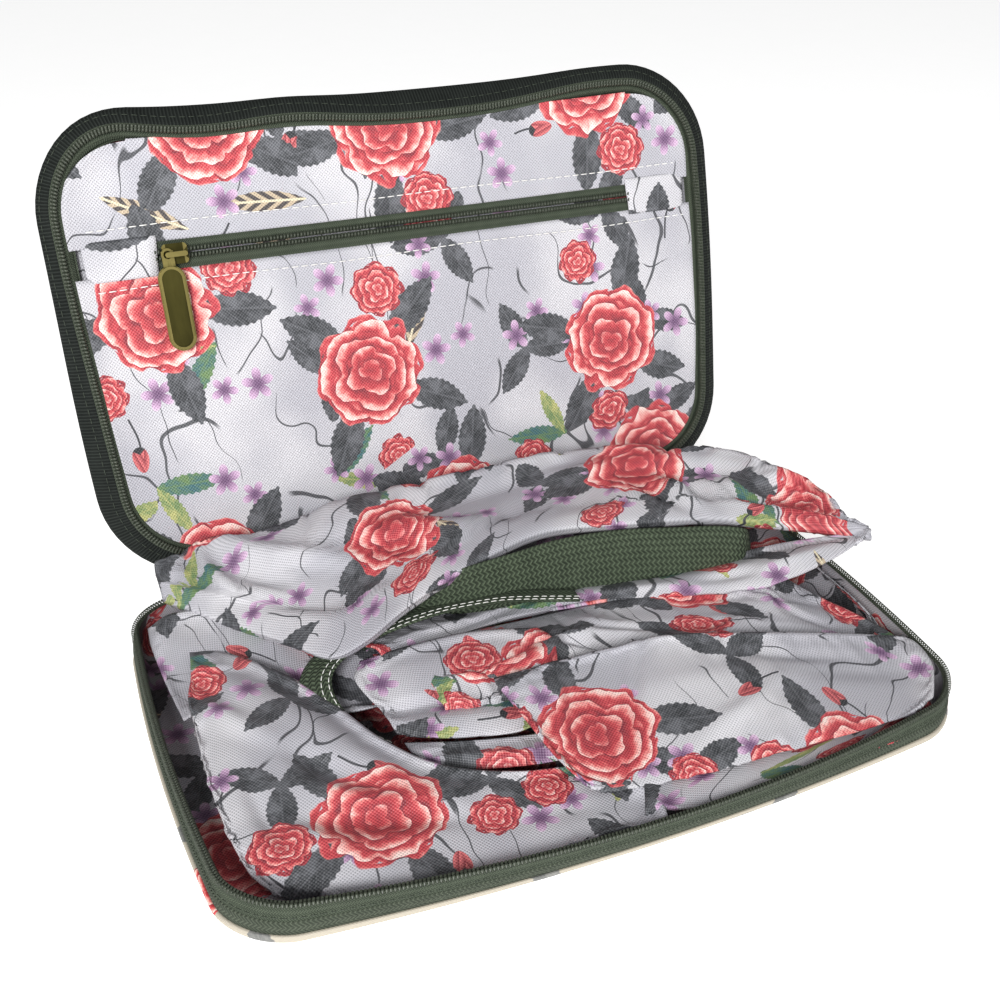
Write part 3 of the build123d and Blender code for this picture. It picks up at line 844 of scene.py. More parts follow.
# ---- base half --------------------------------------------------------------------
base_cover = tray(
    "base_cover_cloth", base_ring, lambda inset: base_ring(inset, 0.0)[:, :2],
    [
        (24, 0.02), (8, 0.0), (2.2, 0.05), (0.7, 0.5), (0.1, 1.5), (0.0, 2.6), (0.35, 3.5), (1.1, 3.7),
        (1.7, 3.2),
    ],
    2, COVER, "base", np.array([0.0, -4.0, 0.0]),
)
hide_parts("base_cover")
grid, uv = profiled(base_ring, [
    (1.7, 2.6), (1.15, 3.5), (0.85, 5.4), (0.85, 7.6), (1.1, 9.2), (1.6, 9.7), (2.2, 9.2),
])
base_band = linked_grid("base_woven_band", grid, uv, BAND, "base")
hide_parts("base_gusset")
grid, uv = profiled(base_ring, [
    (2.0, 8.6), (1.5, 9.6), (1.55, 10.4), (1.7, 12.2), (2.0, 13.8), (2.3, 15.2), (2.7, 16.2),
    (3.5, 16.5), (4.3, 16.0),
])
base_tape = linked_grid("base_zip_tape_cloth", grid, uv, TAPE, "base")
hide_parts("base_zip_tape")
coil_path = open_part(base_ring(2.75, RIM + 0.15), SPINE_HALF)
base_coil = joined("base_zip_teeth", teeth(coil_path, UPWARD), COIL, "base")
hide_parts("base_zip_coil")
seam_path = open_part(base_ring(1.5, 11.2), SPINE_HALF)
seam = stitches(seam_path, UPWARD, long=2.2, gap=0.8, width=0.3, height=0.05)
joined("base_tape_stitches", seam, GREEN_THREAD, "base")
base_lining = tray(
    "base_lining_cloth", base_ring, lambda inset: base_ring(inset, 0.0)[:, :2] * 1.0 + (140.0, 60.0),
    [(30, 2.9), (14, 2.9), (7, 3.2), (4.7, 4.8), (4.0, 8.0), (3.8, 12.0), (3.9, 15.0), (4.2, 16.1)],
    2, FLORAL, "base", np.array([0.0, -4.0, 2.9]),
)
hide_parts("base_lining")
frame["nodes"]["base_stiffener"].data.materials.clear()
frame["nodes"]["base_stiffener"].data.materials.append(BOARD)

# ---- lid half ---------------------------------------------------------------------
lid_middle = lid_at(0.0, (LID_TOP + LID_LOW) / 2, -14.6)
lid_cover = tray(
    "lid_cover_cloth", lid_ring, lambda inset: lid_flat_ring(inset) + (60.0, 210.0),
    [(30, -14.5), (12, -14.3), (4.4, -14.0), (3.3, -13.7), (2.7, -13.1), (2.3, -12.4)],
    2, COVER, "lid", lid_middle,
)
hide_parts("lid_cover")
grid, uv = profiled(lid_ring, [
    (3.4, -12.9), (2.2, -12.6), (1.2, -10.6), (0.2, -8.4), (-0.2, -6.6), (0.7, -4.8), (3.2, -2.6),
    (6.2, -0.5), (7.6, 0.25), (8.8, 0.2),
])
lid_side = linked_grid("lid_ribbed_side", grid, uv, RIBBED, "lid")
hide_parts("lid_gusset")
seam = stitches(lid_ring(5.2, -1.0)[12:-12], INWARD, long=2.4, gap=1.0, width=0.26, height=0.06)
joined("lid_side_stitches", seam, GREEN_THREAD, "lid")
grid, uv = profiled(lid_ring, [
    (7.8, -0.2), (8.2, 0.35), (9.0, 0.3), (9.8, 0.0), (10.3, -0.7), (10.5, -1.6), (10.7, -2.8),
    (11.6, -3.6), (12.6, -3.8),
])
lid_tape = linked_grid("lid_zip_tape_cloth", grid, uv, TAPE, "lid")
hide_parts("lid_zip_tape")
lid_coil_path = open_part(lid_ring(9.5, 0.1), SPINE_HALF)
lid_coil = joined("lid_zip_teeth", teeth(lid_coil_path, INWARD), COIL, "lid")
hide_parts("lid_zip_coil")
grid, uv = profiled(lid_ring, [
    (10.2, -2.6), (10.6, -1.7), (11.1, -1.35), (11.8, -1.4), (12.3, -1.9), (12.6, -2.8),
])
lid_binding = linked_grid("lid_binding_tape", grid, uv, TAPE, "lid")
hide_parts("lid_binding")

# ---- pocket in the lid --------------------------------------------------------------
ZIP_UP = (np.array(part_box("pocket_coil_upper")[1]) + np.array(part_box("pocket_coil_lower")[0])) / 2 / MM
ZIP_UP = float((ZIP_UP - HINGE) @ UP)
ZIP_HALF = np.array(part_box("pocket_end_right")[1])[0] / MM
PANEL_FACE = -3.6


def lid_half_width(up, inset):
    """Half the lid's width at a height up the lid."""
    half_x = LID_HALF - inset
    half_up = (LID_TOP - LID_LOW) / 2 - inset
    radius = LID_CORNER - inset
    share = (up - (LID_TOP + LID_LOW) / 2)
    past = np.maximum(np.abs(share) - (half_up - radius), 0.0)
    corner = radius - np.sqrt(np.maximum(radius ** 2 - past ** 2, 0.0))
    return half_x - corner + LID_SIDE_BOW * (1 - np.minimum((share / half_up) ** 2, 1.0))


def panel(name, low, high, crown, gathers, edge):
    """A lining panel between two heights: crowned, pulled in a little where it is sewn."""
    ups = np.linspace(low, high, 56)
    sides = np.linspace(-1, 1, 110)
    up = ups[:, None] * np.ones(len(sides))
    left_out = 3.0 * np.exp(-((ups - 150) / 62) ** 2)[:, None] * np.maximum(-sides, 0)[None, :] ** 6
    right_out = 1.4 * np.exp(-((ups - 110) / 60) ** 2)[:, None] * np.maximum(sides, 0)[None, :] ** 6
    x = sides[None, :] * lid_half_width(ups, 11.0)[:, None] - left_out + right_out
    dip = LID_DIP * (1 - (x / LID_HALF) ** 2) * np.clip((up - 90) / 90, 0, 1) ** 2
    share = (up - low) / (high - low)
    puff = crown * (np.sin(np.pi * share) ** 0.7) * (1 - sides[None, :] ** 6)
    near_zip = np.exp(-((up - edge) / 9.0) ** 2)
    gather_wave = np.sin(x * 0.42 + 1.3 * np.sin(x * 0.11))
    pull = gathers * near_zip * gather_wave * (0.6 + 0.4 * np.sin(x * 0.05 + 1.0))
    top_gap = np.clip((LID_TOP - 10.0 - up) / 16.0, 0, 1)
    low_gap = np.clip((up - LID_LOW - 10.0) / 16.0, 0, 1)
    side_gap = np.clip((1 - np.abs(sides[None, :])) * lid_half_width(ups, 10.4)[:, None] / 16.0, 0, 1)
    edge_rise = 1.9 * (1 - np.minimum(np.minimum(top_gap, low_gap), side_gap)) ** 2
    soft = 0.35 * np.sin(x * 0.035 + up * 0.05) * np.sin(up * 0.045 - x * 0.012) * np.sin(np.pi * share)
    level = PANEL_FACE + puff + pull + soft + edge_rise
    grid = lid_at(x, up - dip, level)
    uv = np.stack([x, up], axis=2)
    under = lid_at(x, up - dip, level - 0.55)
    return closed_sheet(name, grid, under, uv, FLORAL, "lid")


def closed_sheet(name, top, under, uv, material, body):
    """A thin closed body of cloth from its upper and lower grids."""
    rows, columns = top.shape[:2]
    count = rows * columns
    faces = grid_faces(rows, columns)
    every = [face[::-1] for face in faces] + [tuple(k + count for k in face) for face in faces]
    border = [j for j in range(columns)]
    border += [i * columns + columns - 1 for i in range(1, rows)]
    border += [(rows - 1) * columns + j for j in range(columns - 2, -1, -1)]
    border += [i * columns for i in range(rows - 2, 0, -1)]
    for a, b in zip(border, border[1:] + border[:1]):
        every.append((a, b, b + count, a + count))
    verts = np.concatenate([top.reshape(-1, 3), under.reshape(-1, 3)]) * MM
    both = np.concatenate([uv.reshape(-1, 2), uv.reshape(-1, 2)])
    return piece(name, verts, every, both, material, body)


SEWN_TO_ZIP = 5.4         # from the middle of the pocket zip to the panels' sewn edges
lower_panel = panel(
    "pocket_lower_cloth", low=LID_LOW + 11.0, high=ZIP_UP - SEWN_TO_ZIP,
    crown=1.0, gathers=0.28, edge=ZIP_UP - SEWN_TO_ZIP,
)
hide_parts("pocket_lower_panel")
upper_panel = panel(
    "pocket_upper_cloth", low=ZIP_UP + SEWN_TO_ZIP, high=LID_TOP - 10.2,
    crown=0.7, gathers=0.2, edge=ZIP_UP + SEWN_TO_ZIP,
)
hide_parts("pocket_upper_panel")


def lid_strip(name, stations, half, material, sag=0.0, replaces=()):
    """A strip along the pocket zip through (height from the zip's middle, level) stations."""
    run = catmull(stations, 4)
    x = np.linspace(-half, half, 120)
    up = ZIP_UP + run[:, :1] + sag * np.sin(x * 0.05)[None, :]
    level = run[:, 1:] + np.zeros(len(x))
    grid = lid_at(x[None, :] + np.zeros_like(up), up, level)
    uv = np.stack([x[None, :] + np.zeros_like(up), up], axis=2)
    strip = linked_grid(name, grid, uv, material, "lid")
    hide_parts(*replaces)
    return strip


zip_long = ZIP_HALF - 8.0
lid_strip(
    "pocket_tape_upper_cloth", [(0.35, -4.5), (1.2, -4.35), (2.6, -4.05), (5.4, -3.9), (7.4, -4.2)],
    zip_long, TAPE, 0.05, ("pocket_tape_upper",),
)
lid_strip(
    "pocket_tape_lower_cloth", [(-7.4, -4.2), (-5.4, -3.9), (-2.6, -4.05), (-1.2, -4.35), (-0.35, -4.5)],
    zip_long, TAPE, 0.05, ("pocket_tape_lower",),
)
line = np.linspace(23.0 - ZIP_HALF, ZIP_HALF - 23.0, 200)
for side, word in ((1, "upper"), (-1, "lower")):
    path = lid_at(line[::side], np.full(len(line), ZIP_UP + side * 1.2), np.full(len(line), -4.05))
    wires = teeth(path, INWARD, pitch=1.35, width=2.0, height=1.35, long=0.80, slant=0.12, single=True)
    coil = joined(f"pocket_teeth_{word}", wires, COIL, "lid")
    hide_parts(f"pocket_coil_{word}")

for drop, word, wave in ((11.4, "above", 0.25), (-10.6, "below", 0.35)):
    x = np.linspace(-ZIP_HALF - 0.5, ZIP_HALF + 0.5, 240)
    path = lid_at(x, ZIP_UP + drop + wave * np.sin(x * 0.06), np.full(len(x), PANEL_FACE + 0.62))
    sewn = stitches(path, INWARD, long=2.9, gap=1.0, width=0.5, height=0.12)
    sewn = joined(f"pocket_stitches_{word}", sewn, THREAD, "lid")


def end_tab(side, word):
    """A folded piece of print over the end of the pocket zip."""
    width = 27.0
    inner = ZIP_HALF - width
    x = np.linspace(inner, ZIP_HALF, 24)
    share = (x - inner) / width
    up = np.linspace(-7.4, 7.4, 26)
    lift = 0.9 - 0.35 * share[None, :] + 0.25 * np.sin(share * 7)[None, :] * np.cos(up * 0.3)[:, None]
    fold = np.where(share < 0.08, 1.0, 0.0)[None, :] * -0.5
    edge = np.clip((7.4 - np.abs(up)) / 0.8, 0, 1)[:, None]
    level = -3.35 + (lift + fold) * (0.35 + 0.65 * edge)
    grid_x = side * (x[None, :] - 0.6 * np.sin(up * 0.21)[:, None] * (1 - share[None, :]))
    grid_up = ZIP_UP + up[:, None] + np.zeros(len(x))
    uv = np.stack([grid_x * 0.9 + 31.0, grid_up * 1.1 + side * 47.0], axis=2)
    top = lid_at(grid_x, grid_up, level)
    under = lid_at(grid_x, grid_up, level - 0.7)
    tab = closed_sheet(f"pocket_end_{word}_cloth", top, under, uv, FLORAL, "lid")
    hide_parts(f"pocket_end_{word}")


end_tab(-1, "left")
end_tab(1, "right")

for name, material in (
    ("lid_stiffener", BOARD), ("lid_padding", FOAM), ("pocket_backing", FLORAL_FLAT),
    ("pocket_slider", BRASS), ("pocket_pull_tab", BRASS), ("main_slider", BRASS), ("main_pull_tab", BRASS),
):
    node = frame["nodes"][name]
    node.data.materials.clear()
    node.data.materials.append(material)
    if material is BRASS:
        round_off = node.modifiers.new("soft_edges", "BEVEL")
        round_off.width = 0.00022
        round_off.segments = 2
        round_off.limit_method = "ANGLE"
        round_off.angle_limit = math.radians(40)


# ---- spine --------------------------------------------------------------------------
def spine_cloth():
    """The band that both halves hang on, from the base's woven band to the lid's rim."""
    route = catmull([
        (HALF_Y - 1.0, 9.8), (HALF_Y - 1.2, 13.0), (HALF_Y - 1.4, 16.4), (HALF_Y - 0.6, 18.0),
        (HALF_Y + 0.5, 18.9),
    ], 5)
    lid_stations = ((2.6, -0.9), (5.5, -2.9), (8.2, -1.2), (10.4, -0.2))
    lid_side_run = [lid_at(0.0, up, level)[1:] for up, level in lid_stations]
    route = np.concatenate([route, catmull(lid_side_run, 5)])
    x = np.linspace(-SPINE_HALF + 1, SPINE_HALF - 1, 90)
    ripple = 0.25 * np.sin(x * 0.21) * np.sin(x * 0.05 + 0.4)
    grid = np.zeros((len(route), len(x), 3))
    grid[:, :, 0] = x
    grid[:, :, 1] = route[:, :1] + ripple * np.sin(np.linspace(0, np.pi, len(route)))[:, None]
    grid[:, :, 2] = route[:, 1:]
    lengths = arc_lengths(grid, 0)
    uv = np.stack([grid[:, :, 0], lengths], axis=2)
    under = grid.copy()
    under[:, :, 1] -= 0.7
    strip = closed_sheet("spine_cloth_strip", grid, under, uv, BAND, None)
    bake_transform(strip)
    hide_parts("spine_lower", "spine_upper")
    return strip


spine_cloth()

# ---- the folded bag --------------------------------------------------------------------
def even(points, count):
    """A smooth run through the points, at evenly spaced places."""
    run = catmull(points, 12)
    length = np.concatenate([[0.0], np.cumsum(np.linalg.norm(np.diff(run, axis=0), axis=1))])
    at = np.linspace(0, length[-1], count)
    return np.column_stack([np.interp(at, length, run[:, k]) for k in range(3)])


def draped(lines, across, steps):
    """A cloth grid through control lines that each run the same way."""
    return catmull(np.array([even(line, across) for line in lines]), steps)


def offset_line(line, *shift):
    return [tuple(np.array(point) + shift) for point in line]


def normals_of(grid):
    along = np.gradient(grid, axis=1)
    down = np.gradient(grid, axis=0)
    normal = np.cross(along, down)
    size = np.linalg.norm(normal, axis=2)
    return -normal / np.maximum(size, 1e-9)[:, :, None]


CREASE_GAIN = 1.4


def creased(grid, *waves):
    """Adds long soft creases: each wave is (x, y, angle, length, width, depth) in plan."""
    x = grid[:, :, 0]
    y = grid[:, :, 1]
    normal = normals_of(grid)
    shift = np.zeros(x.shape)
    for cx, cy, angle, long, wide, depth in waves:
        turn = math.radians(angle)
        run = (x - cx) * math.cos(turn) + (y - cy) * math.sin(turn)
        side = -(x - cx) * math.sin(turn) + (y - cy) * math.cos(turn)
        shift += CREASE_GAIN * depth * np.exp(-(run / long) ** 2) * np.exp(-(side / wide) ** 2)
    return grid + normal * shift[:, :, None]


SIM_SCALE = 10.0          # the trial is this much larger, so that the solver keeps its detail


def simulated(grid, ease, held_rows=1, held_columns=1, frames=16, cap=4.0, weight=0.02, hold=()):
    """The grid as cloth that is a little too large for its border, so it buckles between."""
    rows, columns = grid.shape[:2]
    mesh = bpy.data.meshes.new("cloth_trial")
    scaled = grid * (MM * SIM_SCALE)
    mesh.from_pydata([tuple(v) for v in scaled.reshape(-1, 3)], [], grid_faces(rows, columns))
    trial = bpy.data.objects.new("cloth_trial", mesh)
    bpy.context.scene.collection.objects.link(trial)
    pins = trial.vertex_groups.new(name="held")
    for i in range(rows):
        for j in range(columns):
            edge = min(i / max(held_rows, 1), (rows - 1 - i) / max(held_rows, 1),
                       j / max(held_columns, 1), (columns - 1 - j) / max(held_columns, 1))
            amount = 1.0 if edge < 1.0 else 0.0
            for low, high in hold:
                if low <= i <= high:
                    amount = 1.0
            pins.add([i * columns + j], max(amount, weight), "REPLACE")
    cloth = trial.modifiers.new("cloth", "CLOTH")
    settings = cloth.settings
    settings.vertex_group_mass = "held"
    settings.shrink_min = -ease
    settings.quality = 6
    settings.mass = 0.25
    settings.tension_stiffness = 25
    settings.compression_stiffness = 25
    settings.shear_stiffness = 10
    settings.bending_stiffness = 0.35
    settings.effector_weights.gravity = 0.15
    cloth.point_cache.frame_start = 1
    cloth.point_cache.frame_end = frames
    scene = bpy.context.scene
    for frame_number in range(1, frames + 1):
        scene.frame_set(frame_number)
    ready = trial.evaluated_get(bpy.context.evaluated_depsgraph_get()).data
    moved = np.zeros(len(ready.vertices) * 3)
    ready.vertices.foreach_get("co", moved)
    moved = moved.reshape(grid.shape) / (MM * SIM_SCALE)
    bpy.data.objects.remove(trial)
    scene.frame_set(1)
    shift = moved - grid
    size = np.linalg.norm(shift, axis=2)
    allowed = cap * np.tanh(size / cap)
    return grid + shift * (allowed / np.maximum(size, 1e-9))[:, :, None]


def cloth_piece(name, grid, place, turn, body, replaced, thickness=0.8, from_above=False):
    """Closed cloth from a grid; place and turn put it somewhere on the print.

    Cloth that fans out takes the print from above instead of along its own rows.
    """
    normal = normals_of(grid)
    under = grid - normal * thickness
    u = arc_lengths(grid, 1)
    u = u - u[:, -1:] / 2
    v = arc_lengths(grid, 0)
    width = float((u[:, -1] - u[:, 0]).max())
    if from_above:
        u = grid[:, :, 0]
        v = -grid[:, :, 1] - grid[:, :, 2] * 0.5
    angle = math.radians(turn)
    uv = np.stack([
        place[0] + u * math.cos(angle) - v * math.sin(angle),
        place[1] + u * math.sin(angle) + v * math.cos(angle),
    ], axis=2)
    made = closed_sheet(name, grid, under, uv, FLORAL, None)
    if replaced:
        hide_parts(*replaced)
    corners = grid[:-1, :-1], grid[1:, :-1], grid[:-1, 1:], grid[1:, 1:]
    quads = np.cross(corners[3] - corners[0], corners[2] - corners[1])
    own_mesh(made)
    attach(made, body)
    return made


# the mouth's upper side: from behind its ridge, over the top, round the front edge and back inside
flap_behind = [
    (-118, 84, 24), (-86, 84, 23), (-48, 84, 22), (-12, 84, 22), (24, 84, 22), (58, 82, 23),
    (87, 75, 25), (110, 61, 28), (126, 46, 30), (139, 27, 32), (150, -3, 34.5),
]
flap_ridge = [
    (-124, 88, 35), (-104, 87, 39), (-82, 86, 42), (-64, 85, 45), (-49, 85, 48), (-30, 85, 48.5),
    (-12, 86, 49), (24, 86, 50), (58, 80, 51), (87, 69, 52), (110, 58, 52), (126, 43, 51),
    (139, 24, 47), (151, -4, 37),
]
flap_crown = [
    (-126, 84, 34), (-106, 74, 37), (-88, 64, 39), (-72, 56, 40.5), (-56, 54, 43), (-30, 58, 46),
    (0, 62, 48), (24, 64, 49.5), (56, 57, 50), (86, 47, 50), (106, 37, 49), (121, 27, 47),
    (136, 13, 44), (151, -4, 37),
]
flap_edge = [
    (-126, 77, 29), (-116, 64, 28), (-102, 47, 27.5), (-88, 30, 28), (-76, 14, 29), (-62, 14.5, 32),
    (-46, 21, 36), (-26, 28, 40), (0, 35, 43.5), (23, 38, 45.5), (54, 32, 45), (89, 24, 43.5),
    (116, 13, 41), (134, 5, 39), (151, -4.5, 37),
]
flap_roll = offset_line(flap_edge, 0, -2.8, -3.6)
flap_tuck = offset_line(flap_edge, 1, 1.0, -7.0)
flap_inside = offset_line(flap_edge, 2, 14, -9.0)
flap_deep = offset_line(flap_edge, 2, 32, -13.0)
flap = draped(
    [flap_behind, flap_ridge, flap_crown, flap_edge, flap_roll, flap_tuck, flap_inside, flap_deep],
    across=150, steps=10,
)
flap = creased(
    flap,
    (-66, 60, -35, 34, 4.5, 2.4), (-92, 64, -48, 26, 4.5, -2.0), (-78, 40, -30, 26, 4, -1.8),
    (10, 72, 4, 50, 5, -1.8), (60, 66, -14, 40, 4.5, 2.0), (96, 50, -24, 30, 4, -2.2),
    (76, 38, -60, 10, 2.6, -2.6), (84, 39, -70, 10, 2.4, 2.4), (93, 37, -75, 9, 2.4, -2.4),
    (101, 36, -60, 9, 2.6, 1.8), (112, 32, -50, 14, 3.2, 2.0), (126, 22, -38, 16, 3.2, -2.0),
    (-30, 40, 30, 18, 3.6, -1.8), (-14, 48, 24, 26, 4, 1.6), (-104, 72, -70, 14, 4, 1.8),
    (40, 44, -4, 24, 3.2, -1.4),
)
flap = simulated(flap, ease=0.10, held_rows=4, held_columns=2, hold=((26, 50),))
cloth_piece("bag_mouth_upper", flap, place=(40, 20), turn=8, body="bag_mouth", replaced=["bag_upper_flap"])

# the mouth's lower side: a hemmed rim that reaches the corner
lip_inside = [
    (-66, 24, 20), (-34, 33, 19), (-4, 34, 19), (38, 30, 20), (70, 22, 23), (97, 14, 27), (119, 9, 30),
    (147, -3, 35),
]
lip_rim = [
    (-60, 13, 25), (-34, 20, 25.5), (-4, 21, 26), (20, 18, 28), (44, 12, 30.5), (70, 5, 32.5),
    (97, -1, 35), (119, -2, 36.5), (151, -5, 37),
]
lip_hem = [
    (-58, 8, 23.5), (-34, 13, 24), (-4, 13, 24.5), (20, 9, 26), (44, 3, 27.5), (70, -6, 29),
    (95, -14, 31), (119, -12, 33), (150, -7, 36),
]
lip_back = offset_line(lip_hem, -1, 4.0, -3.5)
lip_deep = offset_line(lip_hem, -3, 12.0, -5.0)
lip = draped([lip_inside, lip_rim, lip_hem, lip_back, lip_deep], across=130, steps=12)
lip = creased(
    lip, (30, 8, -14, 20, 2.6, -1.4), (60, 2, -18, 20, 2.8, 1.5), (84, -4, -14, 18, 2.6, -1.5),
    (108, -6, 4, 16, 2.6, 1.3),
    (-20, 17, 4, 22, 2.6, -1.2),
)
lip = simulated(lip, ease=0.05, held_rows=3, held_columns=2)
cloth_piece("bag_mouth_lower", lip, place=(210, 120), turn=-6, body="base", replaced=["bag_lower_lip"])

# the body below it, down to the folds in front
body_back = [
    (-52, 12, 18), (-24, 14, 20), (0, 12, 21), (30, 8, 23), (60, 2, 24.5), (90, -4, 25),
    (108, -2, 22.5), (115, 6, 18),
]
body_top = [
    (-54, 0, 22), (-30, -2, 24), (-2, -5, 26.5), (35, -8, 27.5), (68, -13, 27), (95, -19, 26),
    (112, -18, 22.5), (119, -10, 18),
]
body_mid = [
    (-50, -14, 21), (-28, -18, 24), (0, -22, 27), (32, -26, 28), (66, -32, 26.5), (96, -36, 23.5),
    (118, -38, 20), (130, -32, 16),
]
body_low = [
    (-46, -24, 20), (-26, -29, 23), (0, -33, 26), (32, -37, 28), (66, -42, 26), (98, -48, 23),
    (120, -54, 19.5), (135, -52, 15.5),
]
body_under = offset_line(body_low, 0, -4, -7)
body = draped([body_back, body_top, body_mid, body_low, body_under], across=110, steps=16)
body = creased(
    body, (16, -14, -10, 36, 3.6, 2.2), (30, -24, -14, 26, 3.0, -1.8), (54, -20, -14, 34, 3.4, -2.0),
    (84, -28, -20, 26, 4, 2.0), (92, -12, -16, 22, 3.4, -1.8), (112, -34, -40, 16, 3.4, -1.6),
)
body = simulated(body, ease=0.08, held_rows=3, held_columns=2)
cloth_piece("bag_right_body", body, place=(230, 40), turn=-10, body="base", replaced=["bag_right_panel"])

# pleats left of it, with rolled edges
pleat_back = [(-66, 10, 22), (-48, 8, 25), (-24, 5, 27), (0, -4, 28)]
pleat_rise = [(-71, 1, 21.5), (-50, -3, 25.5), (-26, -8, 28), (2, -14, 29)]
pleat_mid = [(-69, -10, 19.5), (-48, -16, 23), (-26, -22, 26), (-2, -27, 28)]
pleat_nip = [(-66, -14, 16), (-47, -20, 19), (-27, -27, 21.5), (-4, -32, 24)]
pleat_front = [(-66, -22, 18), (-48, -31, 21.5), (-28, -38, 23), (-8, -42, 24)]
pleat_roll = [(-65, -28, 15.5), (-46, -39, 18.5), (-27, -46, 20), (-10, -49, 21)]
pleat_under = [(-62, -24, 12), (-42, -35, 14), (-26, -42, 15), (-12, -45, 16)]
pleats = draped(
    [pleat_back, pleat_rise, pleat_mid, pleat_nip, pleat_front, pleat_roll, pleat_under],
    across=70, steps=10,
)
pleats = simulated(pleats, ease=0.04, held_rows=3, held_columns=2, cap=2.0)
cloth_piece("bag_middle_pleats", pleats, place=(330, 40), turn=20, body="base", replaced=["bag_mid_fold"])
gusset_back = offset_line(pleat_roll, 2, -2, -3)
gusset_mid = offset_line(pleat_roll, 2, -10, -2)
gusset_front = offset_line(pleat_roll, 2, -15, -6)
gusset = draped([gusset_back, gusset_mid, gusset_front], across=50, steps=10)
gusset = simulated(gusset, ease=0.03, held_rows=2, held_columns=2, cap=1.5)
cloth_piece("bag_lower_pleat", gusset, place=(380, 160), turn=35, body="base", replaced=[])

# the panel folded over to the right, with its bound edge
fold_back = [
    (-27, -26, 27.5), (0, -29, 30), (34, -32, 32.5), (66, -39, 30), (100, -46, 25), (134, -54, 19),
]
fold_rise = [
    (-28, -33, 29), (-2, -37, 31), (34, -41, 33), (66, -48, 30.5), (100, -55, 26), (136, -60, 19),
]
fold_mid = [
    (-25, -50, 25.5), (-6, -56, 28), (32, -62, 29.5), (66, -66, 28), (100, -70, 24), (134, -72, 18.5),
]
fold_low = [(-22, -68, 22), (-8, -77, 23), (30, -82, 24), (66, -84, 23), (96, -84, 21), (127, -82, 18)]
fold_edge = [
    (-19, -78, 20), (-10, -86, 20), (22, -91, 20), (62, -92, 20), (94, -91, 18.5), (122, -88, 16.5),
]
fold_tuck = offset_line(fold_edge, 1, 3.5, -4)
side_fold = draped([fold_back, fold_rise, fold_mid, fold_low, fold_edge, fold_tuck], across=120, steps=12)
side_fold = creased(
    side_fold, (70, -60, -10, 46, 6, 1.2), (10, -50, 60, 26, 5, -1.2), (100, -66, -12, 30, 5, -1.6),
    (-12, -52, 74, 20, 4, 1.6),
    (14, -58, 58, 32, 1.3, -1.3), (50, -72, 20, 24, 4, 1.4), (84, -54, -16, 26, 3.4, -1.6),
)
side_fold = simulated(side_fold, ease=0.07, held_rows=3, held_columns=2)
cloth_piece("bag_folded_side", side_fold, place=(420, 210), turn=4, body="base", replaced=["bag_side_fold"])

# what lies under it at the right
right_back = [(20, -40, 18), (60, -50, 17), (100, -52, 16), (132, -40, 16), (137, 10, 15)]
right_mid = [(10, -70, 17), (50, -80, 16.5), (92, -82, 15.5), (126, -72, 14), (137, -20, 13)]
right_front = [(-2, -96, 16), (30, -99, 15.5), (70, -98, 14.5), (100, -94, 13.5), (124, -84, 12.5)]
right_under = [(-2, -97, 9), (30, -100, 9), (70, -99, 8), (100, -95, 8), (124, -85, 7)]
right_panel = draped([right_back, right_mid, right_front, right_under], across=90, steps=14)
right_panel = simulated(right_panel, ease=0.03, held_rows=3, held_columns=2, cap=2.5)
cloth_piece("bag_right_under", right_panel, place=(520, 90), turn=30, body="base", replaced=[])

# the large panel at the front left, lying from the left wall to the front zip
front_rear = [
    (-122, 48, 18), (-108, 34, 21), (-92, 14, 20), (-80, -8, 18), (-71, -30, 17), (-57, -50, 16.5),
    (-34, -64, 16.5), (-6, -70, 16),
]
front_ridge = [
    (-124, 34, 22), (-114, 16, 26.5), (-99, -6, 27), (-86, -27, 24.5), (-74, -46, 22), (-58, -61, 20),
    (-32, -71, 19), (-4, -75, 17.5),
]
front_hollow = [
    (-129, 10, 19), (-122, -8, 24), (-108, -28, 23), (-93, -45, 20), (-77, -58, 19), (-58, -70, 18.5),
    (-30, -79, 18), (0, -81, 17),
]
front_mid = [
    (-131, -20, 16), (-126, -37, 20), (-110, -54, 19), (-92, -66, 18), (-74, -75, 18),
    (-54, -83, 17.5), (-28, -88, 17.5), (2, -88, 16.5),
]
front_low = [
    (-131, -48, 13), (-124, -64, 16), (-106, -78, 17), (-82, -88, 17), (-54, -94, 16.5),
    (-26, -98, 16.5), (4, -96, 16),
]
front_edge = [
    (-128, -66, 8), (-119, -80, 10), (-102, -88, 13), (-78, -96, 14.5), (-48, -101, 15),
    (-22, -104, 15), (3, -103, 14.5),
]
front_under = offset_line(front_edge, 2, 2, -5)
front = draped(
    [front_rear, front_ridge, front_hollow, front_mid, front_low, front_edge, front_under],
    across=120, steps=12,
)
front = creased(
    front, (-112, -14, -62, 34, 5, 2.2), (-98, -34, -48, 28, 4.5, -2.2), (-78, -58, -30, 30, 4.5, 1.8),
    (-88, -64, -24, 34, 5, -1.6), (-60, -80, -12, 34, 5, 1.2), (-118, 8, -70, 16, 3.6, -1.8),
    (-40, -84, -10, 30, 4.5, -1.2), (-118, -48, -80, 18, 3.4, -1.6), (-104, -66, -50, 16, 4, 1.4),
)
front = simulated(front, ease=0.08, held_rows=3, held_columns=2)
cloth_piece(
    "bag_front_left", front, place=(610, 300), turn=-12, body="base", replaced=["bag_front_panel"],
    from_above=True,
)

